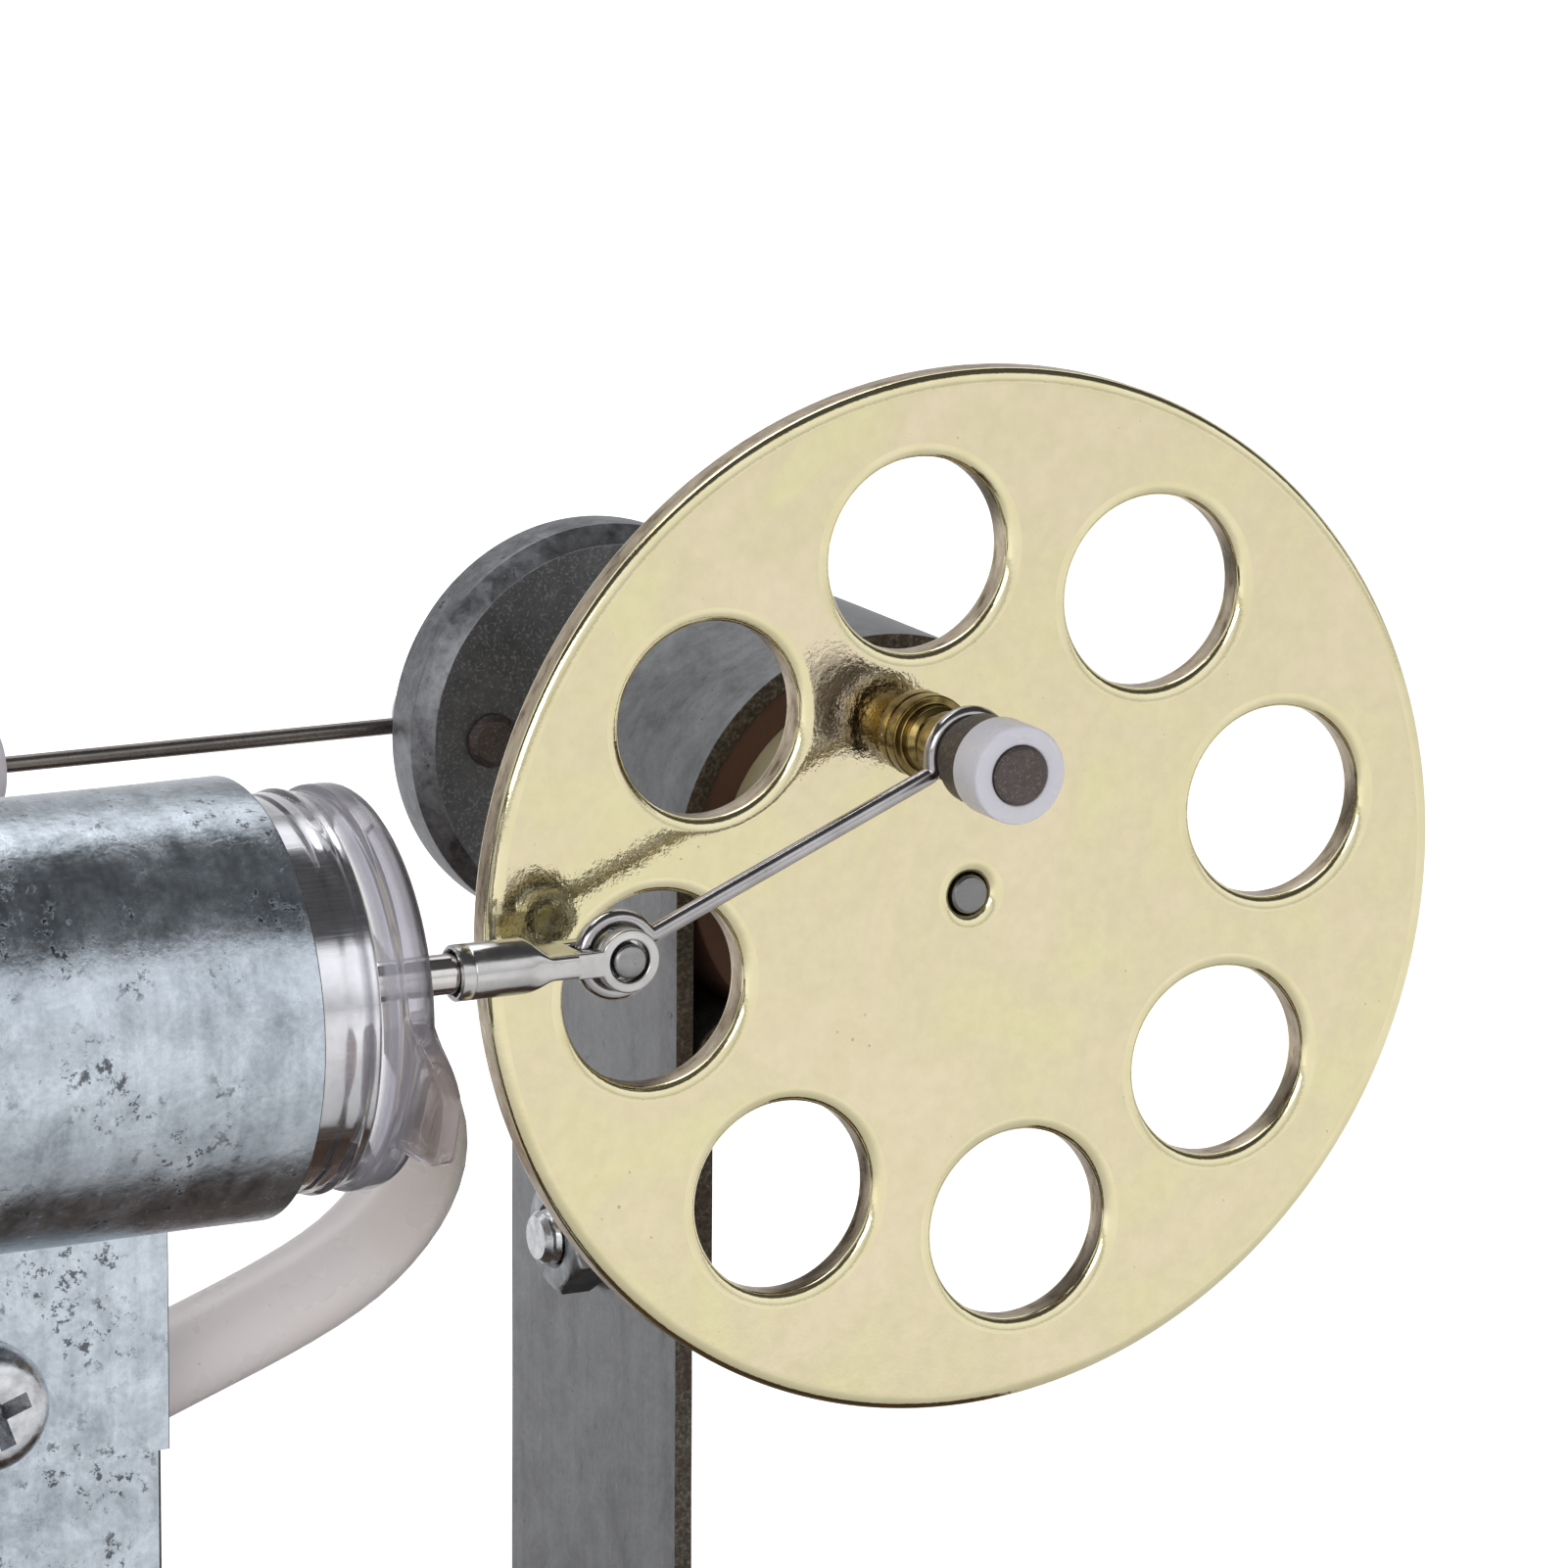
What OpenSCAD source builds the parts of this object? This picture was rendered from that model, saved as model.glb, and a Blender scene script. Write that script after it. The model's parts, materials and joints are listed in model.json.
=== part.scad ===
// Tabletop hot-air engine. A glass displacer tube and a glass power cylinder lie side by side on a
// wooden board, each held by a bent strip post, and both drive one crankshaft with a flywheel.
// Millimetres, +Z up, origin at the centre of the board's underside.
// +X runs along the cylinders towards the flywheel, and +Y from the power side to the displacer side.
// Most modules draw in the shaft frame: its origin is on the shaft axis at the flywheel's front face.

/* [Base board] */
// Length of the board along the cylinders
board_l = 180; // [178:1:220]
// Width of the board across the two cylinders
board_w = 90; // [88:1:120]
// Thickness of the board
board_t = 12; // [10:0.5:14]
// Radius of the board's corners
board_corner_r = 5; // [2:0.5:10]

/* [Flywheel and shaft] */
// Height of the shaft axis above the board's underside
shaft_z = 80; // [76:1:90]
// Diameter of the flywheel
flywheel_d = 54; // [52:0.5:58]
// Thickness of the flywheel
flywheel_t = 2; // [1.5:0.1:3]
// Number of lightening holes in the flywheel
hole_count = 8; // [4:1:10]
// Diameter of one lightening hole
hole_d = 10; // [6:0.5:11]
// Diameter of the circle the lightening holes lie on
hole_pcd = 36; // [34:0.5:38]
// Angle of the first lightening hole above +X, in degrees
hole_phase = 9.8; // [0:0.1:45]
// Diameter of the crankshaft
shaft_d = 2; // [1.8:0.1:2.2]

/* [Power side] */
// Crank radius of the power pin
power_crank_r = 9; // [8:0.1:9.5]
// Angle of the power pin above +X, in degrees
power_crank_angle = 108; // [90:1:120]
// Eye-to-eye length of the power connecting rod
power_rod_l = 21.1; // [20:0.1:24]
// Outside diameter of the glass power cylinder
barrel_d = 19.4; // [19:0.1:20]
// Bore of the glass power cylinder
barrel_bore = 16.8; // [16:0.1:17]
// Length of the power piston
piston_l = 22; // [16:0.5:23]

/* [Displacer side] */
// Crank radius of the displacer pin
displacer_crank_r = 7; // [6:0.1:7.5]
// Length of the displacer connecting rod
displacer_rod_l = 29.5; // [28:0.1:31]
// Outside diameter of the glass displacer tube
tube_d = 20; // [19.5:0.1:20.5]
// Wall thickness of the glass displacer tube
tube_wall = 1.2; // [0.8:0.1:1.4]
// Length of the glass displacer tube
tube_l = 98; // [97:1:110]
// Outside diameter of the displacer can
displacer_d = 16; // [12:0.5:16.5]

/* [Strip posts] */
// Width of the galvanised strip
strip_w = 20; // [18:0.5:20]
// Thickness of the galvanised strip
strip_t = 1; // [0.8:0.1:1.2]

/* [Hose] */
// Outside diameter of the silicone hose
hose_d = 5; // [4.4:0.1:5.2]
// Bore of the silicone hose
hose_bore = 3.2; // [3.1:0.05:3.4]

/* [Hidden] */
$fn = 96;

// Fits, in millimetres of radius or gap
slide_gap = 0.03;      // piston in its cylinder, rod in its guide
running_gap = 0.05;    // shaft in its bush
seat_gap = 0.05;       // parts fitted together and not moving
pin_gap = 0.1;         // between a crank stud and the screw that rides in the rod's eye
bolt_gap = 0.15;       // screw in a drilled strip

// Places in the shaft frame
shaft_r = shaft_d / 2;
shaft_x = 62;          // shaft axis from the board's centre
wheel_y = -21;         // flywheel's front face from the board's centre
board_top = board_t - shaft_z;
power_y = -4.7;        // plane of the power rod and axis of the power cylinder
power_z = 0.3;         // height of the power cylinder's axis above the shaft
displacer_y = 48;      // plane of the displacer rod and axis of the displacer tube
displacer_z = 0.15;    // height of the displacer tube's axis above the shaft

// Round wire and screws
wire_r = 0.45;
eye_mid_r = 2;         // centre line of a crank eye
small_eye_mid_r = 1.85; // centre line of the loose eye on the clevis pin
screw_r = 1.5;         // M3
nut_corner_r = 3.175;
nut_h = 2.4;
crank_screw_r = 1.5;
power_pin_end = -10.4; // outer end of the power crank's screw
collar_r = 2.3;        // between the power rod's eye and the sleeve
collar_l = 2.4;
stud_r = 1.75;
stud_flange_r = 2.2;
stud_tail_r = 1;
clevis_pin_r = 0.88;
rod_r = 1;             // power piston's rod
rod_seat_l = 6;        // depth of the rod's seat in the piston
pilot_r = 1.3;         // foot screws in the board
pilot_l = 9;
foot_screw_l = 8.5;
grub_r = 0.9;

// Crank pins and rod ends in the shaft frame, as [x, z]
power_eye = power_crank_r * [cos(power_crank_angle), sin(power_crank_angle)];
power_rise = power_eye[1] - power_z;
clevis_x = power_eye[0] - sqrt(power_rod_l * power_rod_l - power_rise * power_rise);
power_rod_angle = asin(power_rise / power_rod_l);
displacer_eye = [-displacer_crank_r, displacer_z];
joint_x = displacer_eye[0] - displacer_rod_l;

// Bearing
bearing_y = 10.3;      // front edge of the bearing strip
bearing_in_r = 10.5;   // inside of the strip's loop
bush_r = 8.6;
bush_y0 = 13;
bush_y1 = 27.6;
hub_y0 = flywheel_t + seat_gap;
hub_l = 5.4;
hub_r = 4;
spacer_r = 1.6;

// Rear crank disc
disc_y = 42.5;
disc_t = 3.5;
disc_r = 11.4;
disc_chamfer = 1;
stud_end = 47.4;       // rear end of the displacer stud

// Power cylinder, along X
barrel_x1 = -36.3;     // open end
barrel_x0 = -75.5;     // closed end
barrel_floor = 2;
nozzle_r = 1.5;
nozzle_l = 7;
flange_t = 1.9;
lobe_reach = 14.1;
lobe_r = 2.7;
lobe_tilt = 17;        // finger lobes turned down towards the front
piston_x1 = -38.9;
clevis_sleeve_x0 = -31.1;
clevis_sleeve_x1 = -26.7;
clevis_seat_x = -27.5; // end of the rod's seat in the clevis

// Displacer tube, along X
tube_x1 = -52;         // open end
tube_r = tube_d / 2;
tube_in_r = tube_r - tube_wall;
tube_dome_x = tube_x1 - tube_l + tube_r;
stopper_head_l = 4;
stopper_plug_l = 8;
guide_r = 2;
guide_x0 = -62;
guide_x1 = -45;
nipple_y = displacer_y - 6;
nipple_z = displacer_z - 3;
nipple_x1 = -43;
hose_end_x = -47.5;
can_gap = 1.5;         // end clearance of the displacer at each end of its stroke
can_x1 = guide_x0 - 2 * displacer_crank_r - can_gap;
can_r = displacer_d / 2;
can_wall = 0.4;
can_dome_x = tube_dome_x + can_gap + 0.3;
cap_t = 2.5;
joint_sleeve_x0 = -41.5;
joint_sleeve_x1 = -34.1;
joint_bore_r = 1.5;
ferrule_x1 = -38.9;
roller_r = 1.1;        // cross roller on the rod's end, which swings in the sleeve
roller_half_l = 0.75;

// Posts: the strip's middle along the direction it runs across
power_post_x = -52.5;
displacer_post_x = -70;
clamp_seat = 0.05;     // between a glass and its strip loop
tab_gap = 0.1;         // between the strip's tab and its leg
bend_r = 2;            // centre line of the bend under a loop
foot_bend_r = 1;       // inside of the bend above a foot
foot_l = 19;
tab_z = -25;           // lower end of a tab
clamp_screw_z = -21.4;
foot_screw_out = 11;   // from a leg's inner face to its foot screws
foot_screw_apart = 10;

// Inside radius of each loop, and height of its centre above the board
power_in_r = barrel_d / 2 + clamp_seat;
displacer_in_r = tube_r + clamp_seat;
bearing_leg_h = -board_top;
power_leg_h = power_z - board_top;
displacer_leg_h = displacer_z - board_top;

// Frames and plain solids

module shaft_frame() {
    translate([shaft_x, wheel_y, shaft_z]) children();
}

module rod_x(x0, x1, r) {
    translate([x0, 0, 0]) rotate([0, 90, 0]) cylinder(h = x1 - x0, r = r);
}

module rod_y(y0, y1, r) {
    translate([0, y0, 0]) rotate([-90, 0, 0]) cylinder(h = y1 - y0, r = r);
}

// A turned part: points are [radius, distance along the axis]
module turned_x(points) {
    rotate([0, 90, 0]) rotate_extrude() polygon(points);
}

module turned_y(points) {
    rotate([-90, 0, 0]) rotate_extrude() polygon(points);
}

module tube_y(y0, y1, r, bore_r) {
    turned_y([[bore_r, y0], [r, y0], [r, y1], [bore_r, y1]]);
}

// A pan-head machine screw along +Z, its head above z = 0 and its shank below
module pan_screw(shank_l, shank_r = screw_r - seat_gap, head_r = 3.25, head_h = 2.1) {
    cross_w = 0.9;
    cross_l = 1.15 * head_r;
    edge_h = 0.35 * head_h;
    difference() {
        union() {
            rotate_extrude() polygon([
                [0, 0], [head_r, 0], [head_r, edge_h],
                for (a = [15:15:75])
                    [head_r * (0.5 + 0.5 * cos(a)), edge_h + (head_h - edge_h) * sin(a)],
                [0.5 * head_r, head_h], [0, head_h]
            ]);
            translate([0, 0, -shank_l]) cylinder(h = shank_l + 0.01, r = shank_r);
        }
        for (turn = [0, 90])
            rotate([0, 0, turn])
                translate([-cross_l / 2, -cross_w / 2, 0.4 * head_h]) cube([cross_l, cross_w, head_h]);
    }
}

// A hexagon nut along +Z, its seat at z = 0
module hex_nut() {
    chamfer = 0.35;
    difference() {
        intersection() {
            cylinder(h = nut_h, r = nut_corner_r, $fn = 6);
            rotate_extrude() polygon([
                [0, 0], [nut_corner_r - chamfer, 0], [nut_corner_r, chamfer],
                [nut_corner_r, nut_h - chamfer], [nut_corner_r - chamfer, nut_h], [0, nut_h]
            ]);
        }
        translate([0, 0, -1]) cylinder(h = nut_h + 2, r = screw_r);
    }
}

// Strip posts. The profile is drawn in X and Z around the loop's centre, with the leg at -X,
// and runs strip_w along +Y.

module ring_sector(r_mid, a0, a1) {
    steps = ceil((a1 - a0) / 60);
    reach = 3 * r_mid;
    intersection() {
        difference() {
            circle(r = r_mid + strip_t / 2);
            circle(r = r_mid - strip_t / 2);
        }
        polygon([[0, 0], for (i = [0:steps])
            let (a = a0 + (a1 - a0) * i / steps) reach * [cos(a), sin(a)]]);
    }
}

module strip_profile(in_r, leg_h) {
    mid_r = in_r + strip_t / 2;
    bend_x = -in_r + tab_gap + strip_t / 2 + bend_r;
    bend_z = -sqrt(pow(mid_r + bend_r, 2) - bend_x * bend_x);
    meet = atan2(-bend_z, -bend_x);
    joint = 0.4;
    ring_sector(mid_r, meet - 180 - joint, 0);
    ring_sector(mid_r, -joint, 180 + joint);
    translate([bend_x, bend_z]) ring_sector(bend_r, meet - joint, 180 + joint);
    translate([-in_r + tab_gap, tab_z]) square([strip_t, bend_z - tab_z]);
    translate([-in_r - strip_t, -leg_h + foot_bend_r + strip_t])
        square([strip_t, leg_h - foot_bend_r - strip_t]);
    translate([-in_r + foot_bend_r, -leg_h + foot_bend_r + strip_t])
        ring_sector(foot_bend_r + strip_t / 2, 180 - joint, 270 + joint);
    translate([-in_r + foot_bend_r, -leg_h]) square([foot_l - foot_bend_r, strip_t]);
}

module strip_post(in_r, leg_h) {
    difference() {
        translate([0, strip_w, 0]) rotate([90, 0, 0]) linear_extrude(height = strip_w)
            strip_profile(in_r, leg_h);
        translate([-in_r - strip_t - 1, strip_w / 2, clamp_screw_z])
            rotate([0, 90, 0]) cylinder(h = 2 * strip_t + tab_gap + 2, r = screw_r + bolt_gap);
        for (side = [-1, 1])
            translate([-in_r + foot_screw_out, strip_w / 2 + side * foot_screw_apart / 2, -leg_h - 1])
                cylinder(h = strip_t + 2, r = screw_r + bolt_gap);
    }
}

// Clamp screw and nut of a post: the head lies on the tab and the nut on the leg
module clamp_screw(in_r) {
    shank_l = 2 * strip_t + tab_gap + nut_h + 0.9;
    translate([-in_r + tab_gap + strip_t, strip_w / 2, clamp_screw_z])
        rotate([0, 90, 0]) rotate([0, 0, 20]) pan_screw(shank_l);
}

module clamp_nut(in_r) {
    translate([-in_r - strip_t, strip_w / 2, clamp_screw_z])
        rotate([0, -90, 0]) rotate([0, 0, 10]) hex_nut();
}

module at_foot_screws(in_r, leg_h) {
    for (side = [-1, 1])
        translate([-in_r + foot_screw_out, strip_w / 2 + side * foot_screw_apart / 2, -leg_h + strip_t])
            children();
}

// Each post's frame inside the shaft frame. The bearing post runs along the shaft, and the two
// cylinder posts run along the cylinders with their legs at the back.

module at_bearing_post() {
    translate([0, bearing_y, 0]) children();
}

module at_power_post() {
    translate([power_post_x - strip_w / 2, power_y, power_z]) rotate([0, 0, -90]) children();
}

module at_displacer_post() {
    translate([displacer_post_x - strip_w / 2, displacer_y, displacer_z])
        rotate([0, 0, -90]) children();
}

module at_all_foot_screws() {
    at_bearing_post() at_foot_screws(bearing_in_r, bearing_leg_h) children();
    at_power_post() at_foot_screws(power_in_r, power_leg_h) children();
    at_displacer_post() at_foot_screws(displacer_in_r, displacer_leg_h) children();
}

// Board and fasteners

module base_board() {
    straight_l = board_l - 2 * board_corner_r;
    straight_w = board_w - 2 * board_corner_r;
    color([0.30, 0.19, 0.12]) difference() {
        union() {
            for (x = [-1, 1], y = [-1, 1])
                translate([x * straight_l / 2, y * straight_w / 2, 0])
                    cylinder(h = board_t, r = board_corner_r);
            translate([-straight_l / 2, -board_w / 2, 0]) cube([straight_l, board_w, board_t]);
            translate([-board_l / 2, -straight_w / 2, 0]) cube([board_l, straight_w, board_t]);
        }
        shaft_frame() at_all_foot_screws()
            translate([0, 0, -strip_t - pilot_l]) cylinder(h = pilot_l + 1, r = pilot_r);
    }
}

module foot_screws() {
    color([0.75, 0.75, 0.76]) shaft_frame() at_all_foot_screws()
        pan_screw(foot_screw_l, pilot_r - seat_gap, 2.7, 1.7);
}

// Bearing

module bearing_post() {
    color([0.52, 0.54, 0.56]) shaft_frame() at_bearing_post() strip_post(bearing_in_r, bearing_leg_h);
}

module bearing_post_screw() {
    color([0.75, 0.75, 0.76]) shaft_frame() at_bearing_post() clamp_screw(bearing_in_r);
}

module bearing_post_nut() {
    color([0.70, 0.72, 0.73]) shaft_frame() at_bearing_post() clamp_nut(bearing_in_r);
}

module bearing_liner() {
    inset = 0.5;
    color([0.24, 0.15, 0.12]) shaft_frame()
        tube_y(bearing_y + inset, bearing_y + strip_w - inset, bearing_in_r - seat_gap, bush_r + seat_gap);
}

module bearing_bush() {
    color([0.86, 0.82, 0.70]) shaft_frame()
        tube_y(bush_y0, bush_y1, bush_r, shaft_r + running_gap);
}

// Power side, fixed parts

module power_post() {
    color([0.60, 0.64, 0.67]) shaft_frame() at_power_post() strip_post(power_in_r, power_leg_h);
}

module power_post_screw() {
    color([0.75, 0.75, 0.76]) shaft_frame() at_power_post() clamp_screw(power_in_r);
}

module power_post_nut() {
    color([0.70, 0.72, 0.73]) shaft_frame() at_power_post() clamp_nut(power_in_r);
}

// One round-ended finger lobe beside the round flange
module finger_lobe() {
    out = lobe_reach - lobe_r;
    translate([out, 0]) circle(r = lobe_r);
    translate([0, -lobe_r]) square([out, 2 * lobe_r]);
}

module power_cylinder() {
    barrel_r = barrel_d / 2;
    bore_r = barrel_bore / 2;
    air_r = 0.7;
    ridge_r = barrel_r + 0.2;
    flange_r = barrel_r + 0.2;
    flange_x = barrel_x1 - flange_t;
    color([0.85, 0.88, 0.92, 0.5]) shaft_frame() translate([0, power_y, power_z]) {
        turned_x([
            [air_r, barrel_x0 - nozzle_l], [nozzle_r, barrel_x0 - nozzle_l],
            [nozzle_r, barrel_x0 - 1.2], [3.2, barrel_x0], [barrel_r - 1, barrel_x0],
            [barrel_r, barrel_x0 + 1], [barrel_r, flange_x - 1.8], [ridge_r, flange_x - 1.6],
            [ridge_r, flange_x - 1.2], [barrel_r, flange_x - 1], [barrel_r, barrel_x1],
            [bore_r, barrel_x1], [bore_r, barrel_x0 + barrel_floor], [air_r, barrel_x0 + barrel_floor]
        ]);
        translate([flange_x, 0, 0]) rotate([90, 0, 90]) linear_extrude(height = flange_t)
            difference() {
                union() {
                    circle(r = flange_r);
                    rotate(lobe_tilt) finger_lobe();
                    rotate(180 + lobe_tilt) finger_lobe();
                }
                circle(r = (bore_r + barrel_r) / 2);
            }
    }
}

// Displacer side, fixed parts

module displacer_post() {
    color([0.60, 0.64, 0.67]) shaft_frame() at_displacer_post()
        strip_post(displacer_in_r, displacer_leg_h);
}

module displacer_post_screw() {
    color([0.75, 0.75, 0.76]) shaft_frame() at_displacer_post() clamp_screw(displacer_in_r);
}

module displacer_post_nut() {
    color([0.70, 0.72, 0.73]) shaft_frame() at_displacer_post() clamp_nut(displacer_in_r);
}

module on_displacer_axis() {
    shaft_frame() translate([0, displacer_y, displacer_z]) children();
}

module displacer_tube() {
    color([0.85, 0.88, 0.92, 0.5]) on_displacer_axis() difference() {
        union() {
            rod_x(tube_dome_x, tube_x1, tube_r);
            translate([tube_dome_x, 0, 0]) sphere(r = tube_r);
        }
        rod_x(tube_dome_x, tube_x1 + 1, tube_in_r);
        translate([tube_dome_x, 0, 0]) sphere(r = tube_in_r);
    }
}

module stopper() {
    head_x = tube_x1 + stopper_head_l;
    plug_x = tube_x1 - stopper_plug_l;
    plug_r = tube_in_r - seat_gap;
    color([0.80, 0.78, 0.74]) on_displacer_axis() difference() {
        turned_x([
            [0, plug_x], [plug_r - 0.4, plug_x], [plug_r, plug_x + 1], [plug_r, tube_x1 + seat_gap],
            [tube_r, tube_x1 + seat_gap], [tube_r, head_x - 0.5], [tube_r - 0.5, head_x], [0, head_x]
        ]);
        rod_x(plug_x - 1, head_x + 1, guide_r + seat_gap);
        translate([0, nipple_y - displacer_y, nipple_z - displacer_z])
            rod_x(plug_x - 1, head_x + 1, nozzle_r + seat_gap);
    }
}

module rod_guide() {
    bore_r = wire_r + slide_gap;
    color([0.80, 0.66, 0.35]) on_displacer_axis() turned_x([
        [bore_r, guide_x0], [guide_r, guide_x0], [guide_r, guide_x1], [bore_r, guide_x1]
    ]);
}

module hose_nipple() {
    air_r = 1;
    color([0.80, 0.66, 0.35]) shaft_frame() translate([0, nipple_y, nipple_z]) turned_x([
        [air_r, guide_x0 + 1], [nozzle_r, guide_x0 + 1], [nozzle_r, nipple_x1], [air_r, nipple_x1]
    ]);
}

// Hose: a smooth curve through its resting points, from the power cylinder's nozzle, down and under
// the cylinder, up beside the open end, and back to the nipple in the stopper

hose_way = [
    [barrel_x0 - 2.2, power_y, power_z], [barrel_x0 - 7, power_y, power_z],
    [barrel_x0 - 12, power_y, power_z], [barrel_x0 - 20, -3, -5],
    [barrel_x0 - 21, 1.5, -17], [-86, 6.5, -26.5], [-72, 10.5, -29.6], [-56, 12.5, -28.4],
    [-40, 11.3, -22.8], [-28.4, 12, -18], [-22.9, 16.8, -12.4], [-25.6, 27, -8.6],
    [-33.5, 36, -5.5], [-39, nipple_y - 0.6, nipple_z - 0.2], [-43.5, nipple_y, nipple_z],
    [hose_end_x, nipple_y, nipple_z]
];
hose_steps = 5;
hose_sides = 18;

function spline(p, t) =
    (2 * p[1] + t * (p[2] - p[0]) + t * t * (2 * p[0] - 5 * p[1] + 4 * p[2] - p[3])
        + t * t * t * (3 * p[1] - p[0] - 3 * p[2] + p[3])) / 2;

function hose_axis() = let (last = len(hose_way) - 1) [
    for (i = [0:last - 1], k = [0:hose_steps - 1])
        spline([
            i == 0 ? 2 * hose_way[0] - hose_way[1] : hose_way[i - 1], hose_way[i], hose_way[i + 1],
            i == last - 1 ? 2 * hose_way[last] - hose_way[last - 1] : hose_way[i + 2]
        ], k / hose_steps),
    hose_way[last]
];

function unit(v) = v / norm(v);

function square_to(v, along) = unit(v - (v * along) * along);

module transfer_hose() {
    axis = hose_axis();
    last = len(axis) - 1;
    along = [for (i = [0:last]) unit(axis[min(i + 1, last)] - axis[max(i - 1, 0)])];
    side = [for (i = 0, n = square_to([0, 0, 1], along[0]); i <= last;
        i = i + 1, n = square_to(n, along[min(i, last)])) n];
    rings = [for (r = [hose_d / 2, hose_bore / 2], i = [0:last], k = [0:hose_sides - 1])
        let (turn = 360 * k / hose_sides)
            axis[i] + r * (cos(turn) * side[i] + sin(turn) * cross(along[i], side[i]))];
    inner = (last + 1) * hose_sides;
    quads = concat(
        [for (i = [0:last - 1], k = [0:hose_sides - 1]) let (m = (k + 1) % hose_sides)
            [i * hose_sides + k, (i + 1) * hose_sides + k,
                (i + 1) * hose_sides + m, i * hose_sides + m]],
        [for (i = [0:last - 1], k = [0:hose_sides - 1]) let (m = (k + 1) % hose_sides)
            [inner + i * hose_sides + m, inner + (i + 1) * hose_sides + m,
                inner + (i + 1) * hose_sides + k, inner + i * hose_sides + k]],
        [for (k = [0:hose_sides - 1]) let (m = (k + 1) % hose_sides)
            [k, m, inner + m, inner + k]],
        [for (k = [0:hose_sides - 1]) let (m = (k + 1) % hose_sides, e = last * hose_sides)
            [e + m, e + k, inner + e + k, inner + e + m]]
    );
    triangles = [for (q = quads) each [[q[0], q[1], q[2]], [q[0], q[2], q[3]]]];
    color([0.86, 0.83, 0.82, 0.8]) shaft_frame() polyhedron(points = rings, faces = triangles);
}

// Flywheel and shaft, which turn as one

module flywheel() {
    r = flywheel_d / 2;
    edge = 0.5;
    color([0.82, 0.77, 0.58]) shaft_frame() difference() {
        turned_y([
            [shaft_r + 0.1, 0],
            for (a = [-90:15:0]) [r - edge + edge * cos(a), edge + edge * sin(a)],
            for (a = [0:15:90]) [r - edge + edge * cos(a), flywheel_t - edge + edge * sin(a)],
            [shaft_r + 0.1, flywheel_t]
        ]);
        for (k = [0:hole_count - 1])
            rotate([0, -hole_phase - k * 360 / hole_count, 0])
                translate([hole_pcd / 2, 0, 0]) rod_y(-1, flywheel_t + 1, hole_d / 2);
        translate([power_eye[0], 0, power_eye[1]]) rod_y(-1, flywheel_t + 1, stud_tail_r + seat_gap);
    }
}

module flywheel_hub() {
    color([0.80, 0.66, 0.35]) shaft_frame() difference() {
        tube_y(hub_y0, hub_y0 + hub_l, hub_r, shaft_r + 0.02);
        translate([0, hub_y0 + hub_l / 2, 0]) cylinder(h = hub_r + 1, r = grub_r + seat_gap);
    }
}

module hub_grub_screw() {
    length = hub_r - shaft_r - 0.3;
    socket = 0.8;
    color([0.30, 0.30, 0.31]) shaft_frame()
        translate([0, hub_y0 + hub_l / 2, shaft_r + 0.05]) difference() {
            cylinder(h = length, r = grub_r);
            translate([0, 0, length - socket]) cylinder(h = socket + 1, r = socket / 2, $fn = 6);
        }
}

module crankshaft() {
    color([0.55, 0.55, 0.56]) shaft_frame() rod_y(0, disc_y + disc_t + 0.2, shaft_r);
}

module front_spacer() {
    color([0.80, 0.66, 0.35]) shaft_frame()
        tube_y(hub_y0 + hub_l + seat_gap, bush_y0 - seat_gap, spacer_r, shaft_r + 0.02);
}

module rear_spacer() {
    color([0.80, 0.66, 0.35]) shaft_frame()
        tube_y(bush_y1 + seat_gap, disc_y - seat_gap, spacer_r, shaft_r + 0.02);
}

module crank_stud() {
    end_y = power_y + wire_r + pin_gap;
    foot_y = -1.2;
    color([0.80, 0.62, 0.28]) shaft_frame() translate([power_eye[0], 0, power_eye[1]]) turned_y([
        [0, flywheel_t + 0.2], [stud_tail_r, flywheel_t + 0.2], [stud_tail_r, -0.02],
        [stud_flange_r, -0.02], [stud_flange_r, foot_y], [stud_r, foot_y], [stud_r, end_y], [0, end_y]
    ]);
}

module crank_disc() {
    color([0.30, 0.31, 0.33]) shaft_frame() difference() {
        turned_y([
            [shaft_r + 0.02, disc_y], [disc_r - disc_chamfer, disc_y], [disc_r, disc_y + disc_chamfer],
            [disc_r, disc_y + disc_t], [shaft_r + 0.02, disc_y + disc_t]
        ]);
        translate([displacer_eye[0], 0, displacer_eye[1]])
            rod_y(disc_y - 1, disc_y + disc_t + 1, stud_tail_r + seat_gap);
    }
}

module displacer_crank_stud() {
    rear_y = disc_y + disc_t + 0.02;
    flange_y = rear_y + 0.7;
    color([0.25, 0.24, 0.24]) shaft_frame()
        translate([displacer_eye[0], 0, displacer_eye[1]]) turned_y([
            [0, disc_y - 0.7], [1, disc_y - 0.6], [1.5, disc_y - 0.25], [1.5, disc_y - 0.02],
            [stud_tail_r, disc_y - 0.02], [stud_tail_r, rear_y], [stud_flange_r, rear_y],
            [stud_flange_r, flange_y], [stud_r, flange_y], [stud_r, stud_end], [0, stud_end]
        ]);
}

// Power side, moving parts

module on_power_axis() {
    shaft_frame() translate([0, power_y, power_z]) children();
}

module power_piston() {
    r = barrel_bore / 2 - slide_gap;
    color([0.78, 0.78, 0.80]) on_power_axis() difference() {
        rod_x(piston_x1 - piston_l, piston_x1, r);
        rod_x(piston_x1 - rod_seat_l, piston_x1 + 1, rod_r + 0.02);
    }
}

module piston_rod() {
    color([0.75, 0.75, 0.77]) on_power_axis()
        rod_x(piston_x1 - rod_seat_l + 0.1, clevis_seat_x - 0.1, rod_r);
}

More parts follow.
